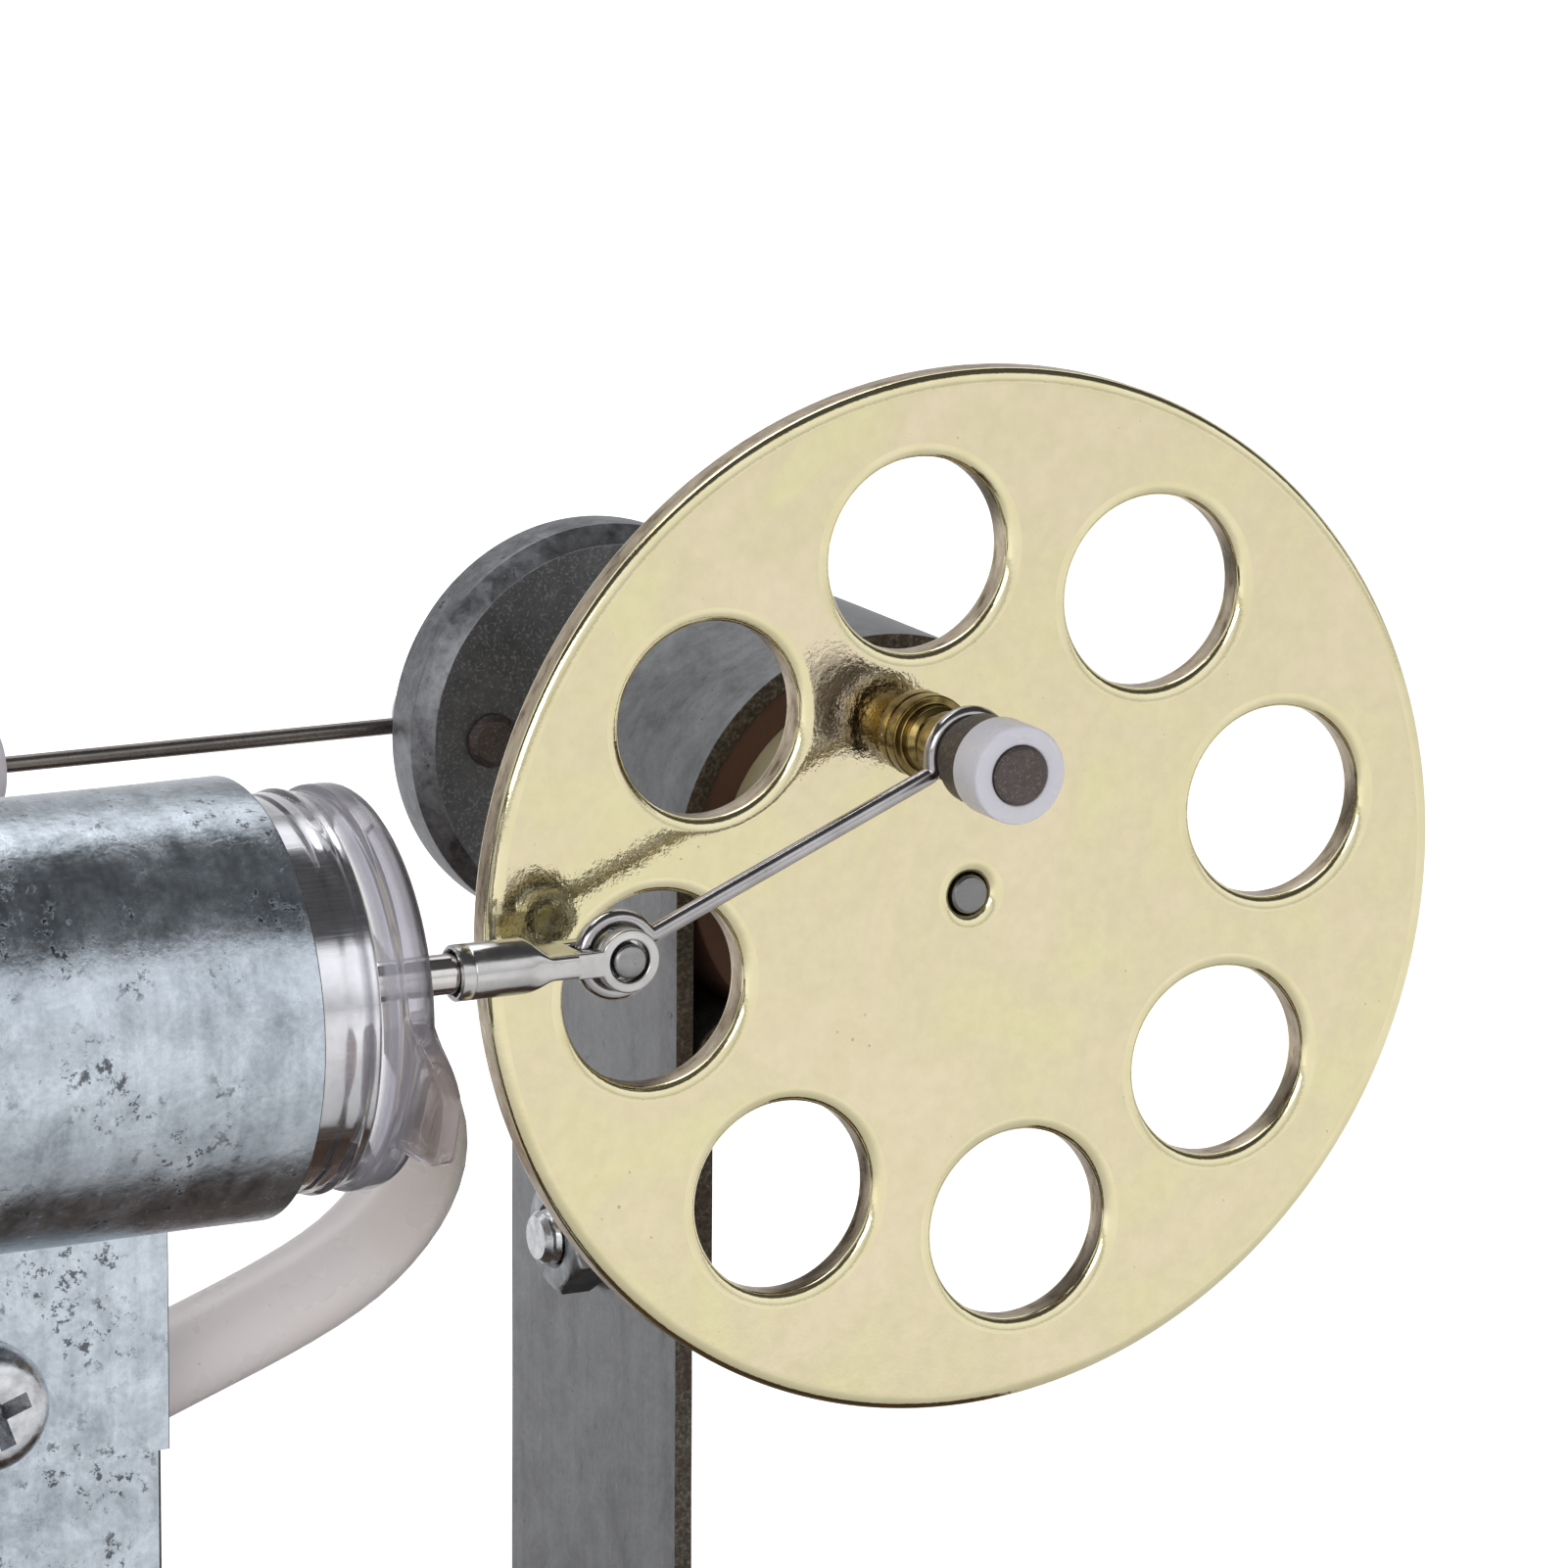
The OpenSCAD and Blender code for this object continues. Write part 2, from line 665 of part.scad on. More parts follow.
// A sleeve on the rod's end, and two flat ears that hold the pin across the small eye
module clevis() {
    sleeve_r = 1.4;
    fork_half_w = 1.6;
    chamfer = 0.2;
    bridge_x = clevis_x - 2.5;
    ear_t = 0.85;
    ear_r = 1.6;
    neck_h = 1.3;
    color([0.68, 0.67, 0.65]) on_power_axis() difference() {
        union() {
            turned_x([
                [0, clevis_sleeve_x0], [sleeve_r - chamfer, clevis_sleeve_x0],
                [sleeve_r, clevis_sleeve_x0 + chamfer], [sleeve_r, clevis_sleeve_x1 - chamfer],
                [sleeve_r - chamfer, clevis_sleeve_x1], [0, clevis_sleeve_x1]
            ]);
            translate([clevis_sleeve_x1 - 0.5, -fork_half_w, -neck_h / 2])
                cube([bridge_x - clevis_sleeve_x1 + 0.5, 2 * fork_half_w, neck_h]);
            for (side = [-1, 1])
                translate([0, side * (fork_half_w - ear_t / 2), 0]) {
                    translate([bridge_x - 0.1, -ear_t / 2, -neck_h / 2])
                        cube([clevis_x - bridge_x, ear_t, neck_h]);
                    translate([clevis_x, 0, 0]) rod_y(-ear_t / 2, ear_t / 2, ear_r);
                }
        }
        rod_x(clevis_sleeve_x0 - 1, clevis_seat_x, rod_r + 0.02);
        translate([clevis_x, 0, 0]) rod_y(-fork_half_w - 1, fork_half_w + 1, clevis_pin_r + 0.03);
    }
}

module clevis_pin() {
    half_l = 1.8;
    color([0.72, 0.72, 0.72]) on_power_axis() translate([clevis_x, 0, 0])
        rod_y(-half_l, half_l, clevis_pin_r);
}

module wire_eye(mid_r) {
    rotate([90, 0, 0]) rotate_extrude() translate([mid_r, 0]) circle(r = wire_r);
}

module power_con_rod() {
    color([0.62, 0.62, 0.64]) on_power_axis()
        translate([clevis_x, 0, 0]) rotate([0, -power_rod_angle, 0]) {
            wire_eye(small_eye_mid_r);
            rod_x(small_eye_mid_r, power_rod_l - eye_mid_r, wire_r);
            translate([power_rod_l, 0, 0]) wire_eye(eye_mid_r);
        }
}

module power_crank_screw() {
    head_y = power_y + wire_r;
    color([0.35, 0.31, 0.29]) shaft_frame() translate([power_eye[0], 0, power_eye[1]])
        rod_y(power_pin_end, head_y, crank_screw_r);
}

module power_pin_collar() {
    collar_y = power_y - wire_r - seat_gap;
    color([0.25, 0.23, 0.22]) shaft_frame() translate([power_eye[0], 0, power_eye[1]])
        tube_y(collar_y - collar_l, collar_y, collar_r, crank_screw_r + 0.02);
}

module power_pin_sleeve() {
    sleeve_y = power_y - wire_r - collar_l - 2 * seat_gap;
    color([0.85, 0.85, 0.87, 0.7]) shaft_frame() translate([power_eye[0], 0, power_eye[1]])
        tube_y(power_pin_end + 0.15, sleeve_y, hose_d / 2, crank_screw_r + 0.02);
}

// Displacer side, moving parts

module displacer_can() {
    in_r = can_r - can_wall;
    color([0.80, 0.80, 0.81]) on_displacer_axis() difference() {
        union() {
            rod_x(can_dome_x, can_x1, can_r);
            translate([can_dome_x, 0, 0]) sphere(r = can_r);
        }
        rod_x(can_dome_x, can_x1 + 1, in_r);
        translate([can_dome_x, 0, 0]) sphere(r = in_r);
    }
}

module displacer_cap() {
    color([0.70, 0.70, 0.72]) on_displacer_axis() difference() {
        rod_x(can_x1 - cap_t, can_x1, can_r - can_wall - seat_gap);
        rod_x(can_x1 - cap_t - 1, can_x1 + 1, wire_r + 0.02);
    }
}

module displacer_rod() {
    color([0.62, 0.62, 0.64]) on_displacer_axis() rod_x(can_x1 - cap_t, ferrule_x1, wire_r);
}

module joint_ferrule() {
    color([0.80, 0.66, 0.35]) on_displacer_axis() turned_x([
        [wire_r + 0.02, joint_sleeve_x0 + 0.2], [joint_bore_r - 0.02, joint_sleeve_x0 + 0.2],
        [joint_bore_r - 0.02, ferrule_x1], [wire_r + 0.02, ferrule_x1]
    ]);
}

module joint_sleeve() {
    color([0.85, 0.85, 0.87, 0.7]) on_displacer_axis() turned_x([
        [joint_bore_r, joint_sleeve_x0], [hose_d / 2, joint_sleeve_x0],
        [hose_d / 2, joint_sleeve_x1], [joint_bore_r, joint_sleeve_x1]
    ]);
}

module displacer_con_rod() {
    color([0.50, 0.48, 0.46]) on_displacer_axis() {
        translate([joint_x, 0, 0]) rod_y(-roller_half_l, roller_half_l, roller_r);
        rod_x(joint_x, displacer_eye[0] - eye_mid_r, wire_r);
        translate([displacer_eye[0], 0, 0]) wire_eye(eye_mid_r);
    }
}

module displacer_crank_screw() {
    color([0.35, 0.31, 0.29]) shaft_frame() translate([displacer_eye[0], 0, displacer_eye[1]])
        rod_y(stud_end + pin_gap, displacer_y + 3, crank_screw_r);
}

module displacer_pin_sleeve() {
    sleeve_y = displacer_y + wire_r + seat_gap;
    color([0.85, 0.85, 0.87, 0.7]) shaft_frame() translate([displacer_eye[0], 0, displacer_eye[1]])
        tube_y(sleeve_y, sleeve_y + 2.1, 2.4, crank_screw_r + 0.02);
}

base_board();
foot_screws();
bearing_post();
bearing_post_screw();
bearing_post_nut();
bearing_liner();
bearing_bush();
power_post();
power_post_screw();
power_post_nut();
power_cylinder();
displacer_post();
displacer_post_screw();
displacer_post_nut();
displacer_tube();
stopper();
rod_guide();
hose_nipple();
transfer_hose();
flywheel();
flywheel_hub();
hub_grub_screw();
crankshaft();
front_spacer();
rear_spacer();
crank_stud();
crank_disc();
displacer_crank_stud();
power_piston();
piston_rod();
clevis();
clevis_pin();
power_con_rod();
power_crank_screw();
power_pin_collar();
power_pin_sleeve();
displacer_can();
displacer_cap();
displacer_rod();
joint_ferrule();
joint_sleeve();
displacer_con_rod();
displacer_crank_screw();
displacer_pin_sleeve();
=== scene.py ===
import json
import math

import bmesh
import bpy
from mathutils import Matrix, Vector, geometry, noise


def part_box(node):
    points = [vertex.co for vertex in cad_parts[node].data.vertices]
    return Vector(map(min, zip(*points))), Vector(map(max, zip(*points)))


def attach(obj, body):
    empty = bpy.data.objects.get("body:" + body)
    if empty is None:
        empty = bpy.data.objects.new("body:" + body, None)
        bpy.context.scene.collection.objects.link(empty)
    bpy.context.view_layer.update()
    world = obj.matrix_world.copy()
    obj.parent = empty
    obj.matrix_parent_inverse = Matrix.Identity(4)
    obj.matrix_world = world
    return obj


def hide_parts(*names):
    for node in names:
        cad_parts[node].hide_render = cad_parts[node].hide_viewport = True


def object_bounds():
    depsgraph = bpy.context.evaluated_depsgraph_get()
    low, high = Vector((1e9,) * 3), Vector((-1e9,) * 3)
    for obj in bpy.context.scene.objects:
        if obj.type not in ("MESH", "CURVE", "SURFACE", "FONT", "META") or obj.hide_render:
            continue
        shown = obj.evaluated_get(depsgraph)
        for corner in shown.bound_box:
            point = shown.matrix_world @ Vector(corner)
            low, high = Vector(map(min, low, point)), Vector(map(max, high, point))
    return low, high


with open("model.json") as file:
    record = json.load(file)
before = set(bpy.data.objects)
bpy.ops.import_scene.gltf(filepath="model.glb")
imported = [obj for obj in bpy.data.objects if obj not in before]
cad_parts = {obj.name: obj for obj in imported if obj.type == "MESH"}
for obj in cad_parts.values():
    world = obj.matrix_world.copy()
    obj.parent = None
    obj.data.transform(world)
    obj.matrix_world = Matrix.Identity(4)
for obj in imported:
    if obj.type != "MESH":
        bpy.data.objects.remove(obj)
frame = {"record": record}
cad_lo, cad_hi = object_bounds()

MM = 0.001
UP = Vector((0, 0, 1))
noise.seed_set(1)    # vector noise is otherwise seeded from the clock


# ---------------------------------------------------------------- places, in millimetres
# Everything is drawn in the shaft frame: millimetres from the point where the shaft's axis meets
# the flywheel's front face, with the same directions as the model.

def shaft_origin():
    low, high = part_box("crankshaft")
    middle = (low + high) / 2
    return Vector((middle.x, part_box("flywheel")[0].y, middle.z))


ORIGIN = shaft_origin()


def low(node):
    return (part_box(node)[0] - ORIGIN) / MM


def high(node):
    return (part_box(node)[1] - ORIGIN) / MM


def middle(node):
    return (low(node) + high(node)) / 2


def size(node):
    return high(node) - low(node)


STRIP_T = 1.0
WIRE_R = size("displacer_rod").y / 2
SHAFT_R = size("crankshaft").x / 2
POWER_EYE = middle("power_crank_screw")
DISPLACER_EYE = middle("displacer_crank_screw")
CLEVIS_PIN = middle("clevis_pin")
POWER_AXIS = middle("power_piston")
DISPLACER_AXIS = middle("displacer_can")
POWER_ROD_Y = middle("power_con_rod").y
DISPLACER_ROD_Y = middle("displacer_con_rod").y


# ---------------------------------------------------------------- mesh building

def face_outward(mesh):
    work = bmesh.new()
    work.from_mesh(mesh)
    bmesh.ops.recalc_face_normals(work, faces=work.faces)
    work.to_mesh(mesh)
    work.free()


def add_object(name, data):
    item = bpy.data.objects.new(name, data)
    bpy.context.scene.collection.objects.link(item)
    return item


def join_parts(*parts):
    """Joins (points, faces) pairs into one."""
    points, faces = [], []
    for part_points, part_faces in parts:
        start = len(points)
        points += list(part_points)
        faces += [[start + i for i in face] for face in part_faces]
    return points, faces


def moved(part, offset, turn=None):
    """The part after a turn about the origin, then a shift."""
    points, faces = part
    points = [turn @ Vector(p) for p in points] if turn is not None else points
    return [Vector(p) + Vector(offset) for p in points], faces


def fillet(points, radius, closed=False, steps=4):
    """Rounds the corners of a 2D outline. radius is one number, or one for each corner."""
    count = len(points)
    radii = [radius] * count if isinstance(radius, (int, float)) else radius
    out = []
    for i, here in enumerate(points):
        if not closed and i in (0, count - 1) or radii[i] <= 0:
            out.append(tuple(here))
            continue
        p = Vector(here)
        to_last = Vector(points[i - 1]) - p
        to_next = Vector(points[(i + 1) % count]) - p
        half = to_last.angle(to_next) / 2
        reach = min(radii[i] / math.tan(half), 0.45 * to_last.length, 0.45 * to_next.length)
        a = p + to_last.normalized() * reach
        b = p + to_next.normalized() * reach
        for k in range(steps + 1):
            t = k / steps
            out.append(tuple((1 - t) ** 2 * a + 2 * t * (1 - t) * p + t * t * b))
    return out


def arc(centre, radius, start, end, step=4):
    """Points of an arc in 2D, from angle start to end in degrees."""
    count = max(2, int(abs(end - start) / step) + 1)
    angles = [math.radians(start + (end - start) * i / (count - 1)) for i in range(count)]
    return [(centre[0] + radius * math.cos(a), centre[1] + radius * math.sin(a)) for a in angles]


AXES = {
    "X": (Vector((0, 1, 0)), Vector((0, 0, 1)), Vector((1, 0, 0))),
    "Y": (Vector((0, 0, 1)), Vector((1, 0, 0)), Vector((0, 1, 0))),
    "Z": (Vector((1, 0, 0)), Vector((0, 1, 0)), Vector((0, 0, 1))),
}


def rings_of(count, sides, start=0):
    """Point numbers of rings that follow one another, each with the same number of points."""
    return [range(start + i * sides, start + (i + 1) * sides) for i in range(count)]


def between(first, second):
    """The faces between two closed rings of point numbers."""
    count = len(first)
    return [[first[k], first[(k + 1) % count], second[(k + 1) % count], second[k]] for k in range(count)]


def lathe(profile, axis="Y", centre=(0, 0, 0), closed=False, sides=96, warp=None):
    """A turned solid. The profile's points are (radius, distance along the axis); warp may change
    a point's radius and distance by its angle."""
    side_a, side_b, along = AXES[axis]
    centre = Vector(centre)
    points, rings, faces = [], [], []
    for index, (radius, distance) in enumerate(profile):
        ring = []
        for k in range(1 if radius < 1e-6 else sides):
            angle = 2 * math.pi * k / sides
            r, d = warp(angle, radius, distance, index) if warp else (radius, distance)
            points.append(centre + r * (math.cos(angle) * side_a + math.sin(angle) * side_b) + d * along)
            ring.append(len(points) - 1)
        rings.append(ring)
    following = rings[1:] + rings[:1] if closed else rings[1:]
    for first, second in zip(rings, following):
        if len(first) == len(second) == 1:
            continue
        if len(first) == 1:
            faces += [[first[0], second[(k + 1) % sides], second[k]] for k in range(sides)]
        elif len(second) == 1:
            faces += [[first[k], first[(k + 1) % sides], second[0]] for k in range(sides)]
        else:
            faces += between(first, second)
    return points, faces


def loft(rings):
    """A closed solid through rings of points."""
    numbers = rings_of(len(rings), len(rings[0]))
    faces = [face for first, second in zip(numbers, numbers[1:]) for face in between(first, second)]
    return [p for ring in rings for p in ring], faces + [list(numbers[0])[::-1], list(numbers[-1])]


def sweep(path, section, normal):
    """Sweeps a closed section along a path. A section's points are (along the normal, across it)."""
    rings = []
    normal = Vector(normal)
    for i, here in enumerate(path):
        along = (path[min(i + 1, len(path) - 1)] - path[max(i - 1, 0)]).normalized()
        normal = (normal - normal.dot(along) * along).normalized()
        across = along.cross(normal)
        rings.append([here + a * normal + b * across for a, b in section])
    return loft(rings)


def quarter_turn(steps):
    """Angles from 0 to 90 degrees, in radians."""
    return [math.pi / 2 * k / steps for k in range(steps + 1)]


def offset_loop(loop, distance):
    """Moves a closed 2D loop to its left by distance."""
    count, out = len(loop), []
    for i in range(count):
        before, here, after = (Vector(loop[j % count]) for j in (i - 1, i, i + 1))
        a, b = (here - before).normalized(), (after - here).normalized()
        left = Vector((-(a.y + b.y), a.x + b.x))
        left = left / max(left.length_squared, 1e-9) * 2
        out.append(here + left * distance)
    return out


def plate(loops, thickness, edge_r, steps=5, edge_w=None):
    """A flat plate in its own X and Y, from Z = 0 up. The first loop is the outline, the rest are
    holes. The outline runs anticlockwise and the holes clockwise, so that metal is on the left.
    Each edge is rounded, edge_w wide and edge_r deep.
    Gives points, faces, and for each face "face", "edge" or "wall"."""
    support = 0.12    # a narrow flat band that keeps the shading of the face flat
    edge_w = edge_w or edge_r
    rounding = [(edge_w * (1 - math.sin(a)), edge_r * (1 - math.cos(a))) for a in quarter_turn(steps)]
    near = [(edge_w + support, 0.0)] + rounding
    rows = near + [(inset, thickness - depth) for inset, depth in near[::-1]]
    row_kinds = ["face"] + ["edge"] * steps + ["wall"] + ["edge"] * steps + ["face"]
    points, faces, kinds = [], [], []
    all_rings = []
    for loop in loops:
        rings = rings_of(len(rows), len(loop), len(points))
        for inset, depth in rows:
            points += [Vector((p.x, p.y, depth)) for p in offset_loop(loop, inset)]
        for first, second, kind in zip(rings, rings[1:], row_kinds):
            faces += between(first, second)
            kinds += [kind] * len(loop)
        all_rings.append(rings)
    for index in (0, -1):
        rims = [rings[index] for rings in all_rings]
        flat = [i for ring in rims for i in ring]
        for triangle in geometry.tessellate_polygon([[points[i] for i in ring] for ring in rims]):
            face = [flat[i] for i in triangle]
            a, b, c = (points[i] for i in face)
            facing_up = (b - a).cross(c - a).z > 0
            faces.append(face if facing_up == (index == -1) else face[::-1])
            kinds.append("face")
    return points, faces, kinds


def circle_loop(centre, radius, sides=96, hole=False):
    turn = -1 if hole else 1
    return [(centre[0] + radius * math.cos(turn * 2 * math.pi * k / sides),
             centre[1] + radius * math.sin(turn * 2 * math.pi * k / sides)) for k in range(sides)]


def spline(way, steps):
    """A smooth curve through the points of a way."""
    way = [Vector(p) for p in way]
    way = [2 * way[0] - way[1]] + way + [2 * way[-1] - way[-2]]
    out = []
    for i in range(1, len(way) - 2):
        a, b, c, d = way[i - 1:i + 3]
        for k in range(steps):
            t = k / steps
            out.append((2 * b + t * (c - a) + t * t * (2 * a - 5 * b + 4 * c - d)
                        + t ** 3 * (3 * b - a - 3 * c + d)) / 2)
    return out + [way[-2]]


# ---------------------------------------------------------------- materials

class Nodes:
    """Adds nodes to a node tree. A node's inputs may be values or other nodes' outputs."""

    def __init__(self, tree):
        self.tree = tree

    def put(self, socket, value):
        if isinstance(value, bpy.types.NodeSocket):
            self.tree.links.new(value, socket)
        elif isinstance(value, tuple) and len(value) == 3 and len(socket.default_value) == 4:
            socket.default_value = (*value, 1)
        else:
            socket.default_value = value

    def add(self, kind, inputs=(), **settings):
        item = self.tree.nodes.new(kind)
        for key, value in settings.items():
            setattr(item, key, value)
        for key, value in dict(inputs).items():
            self.put(item.inputs[key], value)
        return item

    def ramp(self, value, *stops):
        """A colour ramp; each stop is (position, grey or colour)."""
        item = self.add("ShaderNodeValToRGB", {"Fac": value})
        elements = item.color_ramp.elements
        while len(elements) < len(stops):
            elements.new(0.5)
        for element, (position, colour) in zip(elements, stops):
            colour = (colour,) * 3 if isinstance(colour, (int, float)) else colour
            element.position = position
            element.color = (*colour, 1)
        return item.outputs["Color"]

    def mix(self, share, a, b):
        item = self.add("ShaderNodeMix", data_type="RGBA")
        self.put(item.inputs[0], share)
        self.put(item.inputs[6], a)
        self.put(item.inputs[7], b)
        return item.outputs[2]

    def maths(self, operation, a, b):
        return self.add("ShaderNodeMath", {0: a, 1: b}, operation=operation).outputs[0]

    def times(self, a, b):
        return self.maths("MULTIPLY", a, b)

    def rise(self, value, start, end, low=0.0, high=1.0, curve="LINEAR"):
        """Goes from low to high as the value goes from start to end, and stays there."""
        inputs = {"Value": value, "From Min": start, "From Max": end, "To Min": low, "To Max": high}
        return self.add("ShaderNodeMapRange", inputs, interpolation_type=curve).outputs["Result"]


class Shader(Nodes):
    """One material. Noise and cell sizes are the width of a feature in millimetres."""

    def __init__(self, name, **inputs):
        self.material = bpy.data.materials.new(name)
        self.material.use_nodes = True
        super().__init__(self.material.node_tree)
        self.bsdf = self.tree.nodes["Principled BSDF"]
        self.place = self.add("ShaderNodeTexCoord").outputs["Object"]
        self.set(**inputs)

    def set(self, **inputs):
        """Sets inputs of the surface: Base_Color=..., Roughness=... and so on."""
        for name, value in inputs.items():
            self.put(self.bsdf.inputs[name.replace("_", " ")], value)

    def stretched(self, stretch, turn=(0, 0, 0)):
        return self.add("ShaderNodeMapping", {
            "Vector": self.place, "Scale": Vector(stretch), "Rotation": Vector(turn)}).outputs[0]

    def noise(self, width, detail=4, rough=0.55, stretch=(1, 1, 1), turn=(0, 0, 0), warp=0):
        return self.add("ShaderNodeTexNoise", {
            "Vector": self.stretched(stretch, turn), "Scale": 1 / (width * MM), "Detail": detail,
            "Roughness": rough, "Distortion": warp}).outputs["Fac"]

    def cells(self, width):
        """Distance from the nearest of many scattered points."""
        return self.add("ShaderNodeTexVoronoi", {
            "Vector": self.stretched((1, 1, 1)), "Scale": 1 / (width * MM)}).outputs["Distance"]

    def bump(self, height, depth, under=None):
        """A surface normal from a height of the given depth in millimetres, over another normal."""
        inputs = {"Height": height, "Strength": 1.0, "Distance": depth * MM}
        if under is not None:
            inputs["Normal"] = under
        return self.add("ShaderNodeBump", inputs).outputs["Normal"]


def plated_wheel():
    """Thin bright plate over brass: pale gold, slightly uneven, with fine grain and small pits."""
    s = Shader("wheel_plate", Metallic=1.0)
    tone = s.noise(9, 4, 0.55, warp=0.8)
    fine = s.noise(0.9, 4, 0.6)
    base = s.ramp(tone, (0.34, (0.765, 0.700, 0.420)), (0.50, (0.750, 0.665, 0.435)),
                  (0.66, (0.785, 0.685, 0.480)))
    base = s.mix(0.07, base, s.ramp(fine, (0.35, (0.42, 0.35, 0.18)), (0.65, (0.90, 0.84, 0.62))))
    near_pit = s.maths("ADD", s.cells(1.1), s.times(s.noise(4, 2), 0.4))
    spots = s.ramp(near_pit, (0.16, 1.0), (0.22, 0.0))
    s.set(Base_Color=s.mix(s.times(spots, 0.55), base, (0.30, 0.22, 0.10)))
    s.set(Roughness=s.ramp(s.noise(5, 4, 0.6), (0.35, 0.03), (0.75, 0.07)))
    normal = s.bump(s.noise(3.2, 2, 0.4), 0.020)
    normal = s.bump(s.noise(0.40, 3, 0.6), 0.016, normal)
    s.set(Normal=s.bump(spots, -0.02, normal))
    return s.material


def wheel_edge():
    """The bare bronze-brown metal at the rim and inside the holes."""
    s = Shader("wheel_edge", Metallic=1.0)
    tone = s.noise(1.8, 6, 0.65, (1, 2.5, 1))
    s.set(Base_Color=s.ramp(tone, (0.32, (0.20, 0.14, 0.085)), (0.46, (0.52, 0.42, 0.30)),
                               (0.70, (0.74, 0.64, 0.50))))
    s.set(Roughness=s.ramp(s.noise(0.8, 4), (0.3, 0.24), (0.7, 0.40)))
    s.set(Normal=s.bump(s.noise(0.35, 4, 0.6, (1, 3, 1)), 0.014))
    return s.material


def wheel_rounding():
    """The rolled edge, where the plate is thicker and brighter."""
    s = Shader("wheel_rounding", Metallic=1.0)
    tone = s.noise(2.5, 4, 0.6)
    s.set(Base_Color=s.ramp(tone, (0.35, (0.76, 0.685, 0.42)), (0.65, (0.81, 0.735, 0.48))))
    s.set(Roughness=0.08)
    s.set(Normal=s.bump(s.noise(0.4, 4, 0.6), 0.010))
    return s.material


def galvanised(name, dark, light, blotch, shine, specks, around=(1, 1, 1)):
    """Zinc-coated strip: cloudy patches, streaks along the strip's bend, and dark specks."""
    s = Shader(name, Metallic=0.95)
    cloud = s.noise(blotch, 7, 0.68, warp=0.5)
    streaks = s.noise(0.9, 4, 0.6, around)
    fine = s.noise(0.35, 5, 0.75)
    blend = s.maths("ADD", s.times(cloud, 0.55), s.times(fine, 0.25))
    blend = s.maths("ADD", blend, s.times(streaks, 0.20))
    base = s.ramp(blend, (0.40, dark), (0.60, light))
    speck = s.ramp(s.noise(0.75, 5, 0.75), (0.66 - specks, 0.0), (0.70 - specks, 1.0))
    patch = s.ramp(s.noise(5, 3), (0.45, 0.0), (0.58, 1.0))
    speck = s.times(speck, patch)
    base = s.mix(s.times(speck, 0.85), base, (0.05, 0.055, 0.065))
    scratch = s.ramp(s.noise(0.13, 3, 0.6, (1, 1, 0.05), (0.25, 0.1, 0)), (0.715, 0.0), (0.76, 1.0))
    s.set(Base_Color=s.mix(s.times(scratch, 0.5), base, (0.85, 0.87, 0.90)))
    s.set(Roughness=s.ramp(blend, (0.38, shine), (0.62, shine + 0.14)))
    normal = s.bump(s.noise(1.8, 3, 0.5), 0.05)
    normal = s.bump(streaks, 0.012, normal)
    normal = s.bump(fine, 0.012, normal)
    s.set(Normal=s.bump(speck, -0.01, normal))
    return s.material


def sheared_edge():
    """The cut edge of the strip: beige fracture grain with brown rust in its lows."""
    s = Shader("sheared_edge", Metallic=0.6)
    grain = s.noise(0.22, 6, 0.75)
    streak = s.noise(2.5, 5, 0.65)
    base = s.ramp(grain, (0.32, (0.030, 0.022, 0.018)), (0.50, (0.075, 0.063, 0.050)),
                  (0.70, (0.22, 0.195, 0.155)))
    s.set(Base_Color=s.mix(s.ramp(streak, (0.50, 0.0), (0.66, 0.75)), base, (0.06, 0.038, 0.028)))
    s.set(Roughness=s.ramp(grain, (0.3, 0.62), (0.7, 0.40)))
    s.set(Normal=s.bump(grain, 0.045))
    return s.material


def polished_steel(name, tint, rough, stretch, pitting=0.0):
    """Drawn or ground steel with fine lines along the given stretch."""
    s = Shader(name, Metallic=1.0)
    lines = s.noise(0.12, 3, 0.6, stretch)
    cloud = s.noise(3.5, 4, 0.6)
    dark = tuple(c * 0.72 for c in tint)
    base = s.ramp(cloud, (0.32, dark), (0.66, tint))
    if pitting:
        spots = s.ramp(s.noise(0.4, 4, 0.7), (0.60, 0.0), (0.70, 1.0))
        base = s.mix(s.times(spots, pitting), base, (0.05, 0.04, 0.04))
    s.set(Base_Color=base)
    s.set(Roughness=s.ramp(lines, (0.3, rough), (0.7, rough + 0.12)))
    s.set(Normal=s.bump(lines, 0.0022, s.bump(s.noise(1.2, 3), 0.004)))
    return s.material


def plated_fastener(name, tint, rough):
    s = Shader(name, Metallic=1.0)
    cloud = s.noise(1.1, 5, 0.6)
    s.set(Base_Color=s.ramp(cloud, (0.34, tuple(c * 0.6 for c in tint)), (0.62, tint)))
    s.set(Roughness=s.ramp(s.noise(0.5, 4), (0.35, rough), (0.7, rough + 0.18)))
    s.set(Normal=s.bump(s.noise(0.45, 5, 0.6), 0.02))
    return s.material


def brass(name, dark, light):
    """Turned brass with fine tool rings and tarnish in the hollows."""
    s = Shader(name, Metallic=1.0)
    rings = s.noise(0.09, 2, 0.5, (0.1, 1, 0.1))
    tarnish = s.noise(1.0, 5, 0.6)
    s.set(Base_Color=s.ramp(tarnish, (0.34, dark), (0.64, light)))
    s.set(Roughness=s.ramp(tarnish, (0.3, 0.32), (0.7, 0.15)))
    s.set(Normal=s.bump(rings, 0.001, s.bump(s.noise(0.7, 4), 0.008)))
    return s.material


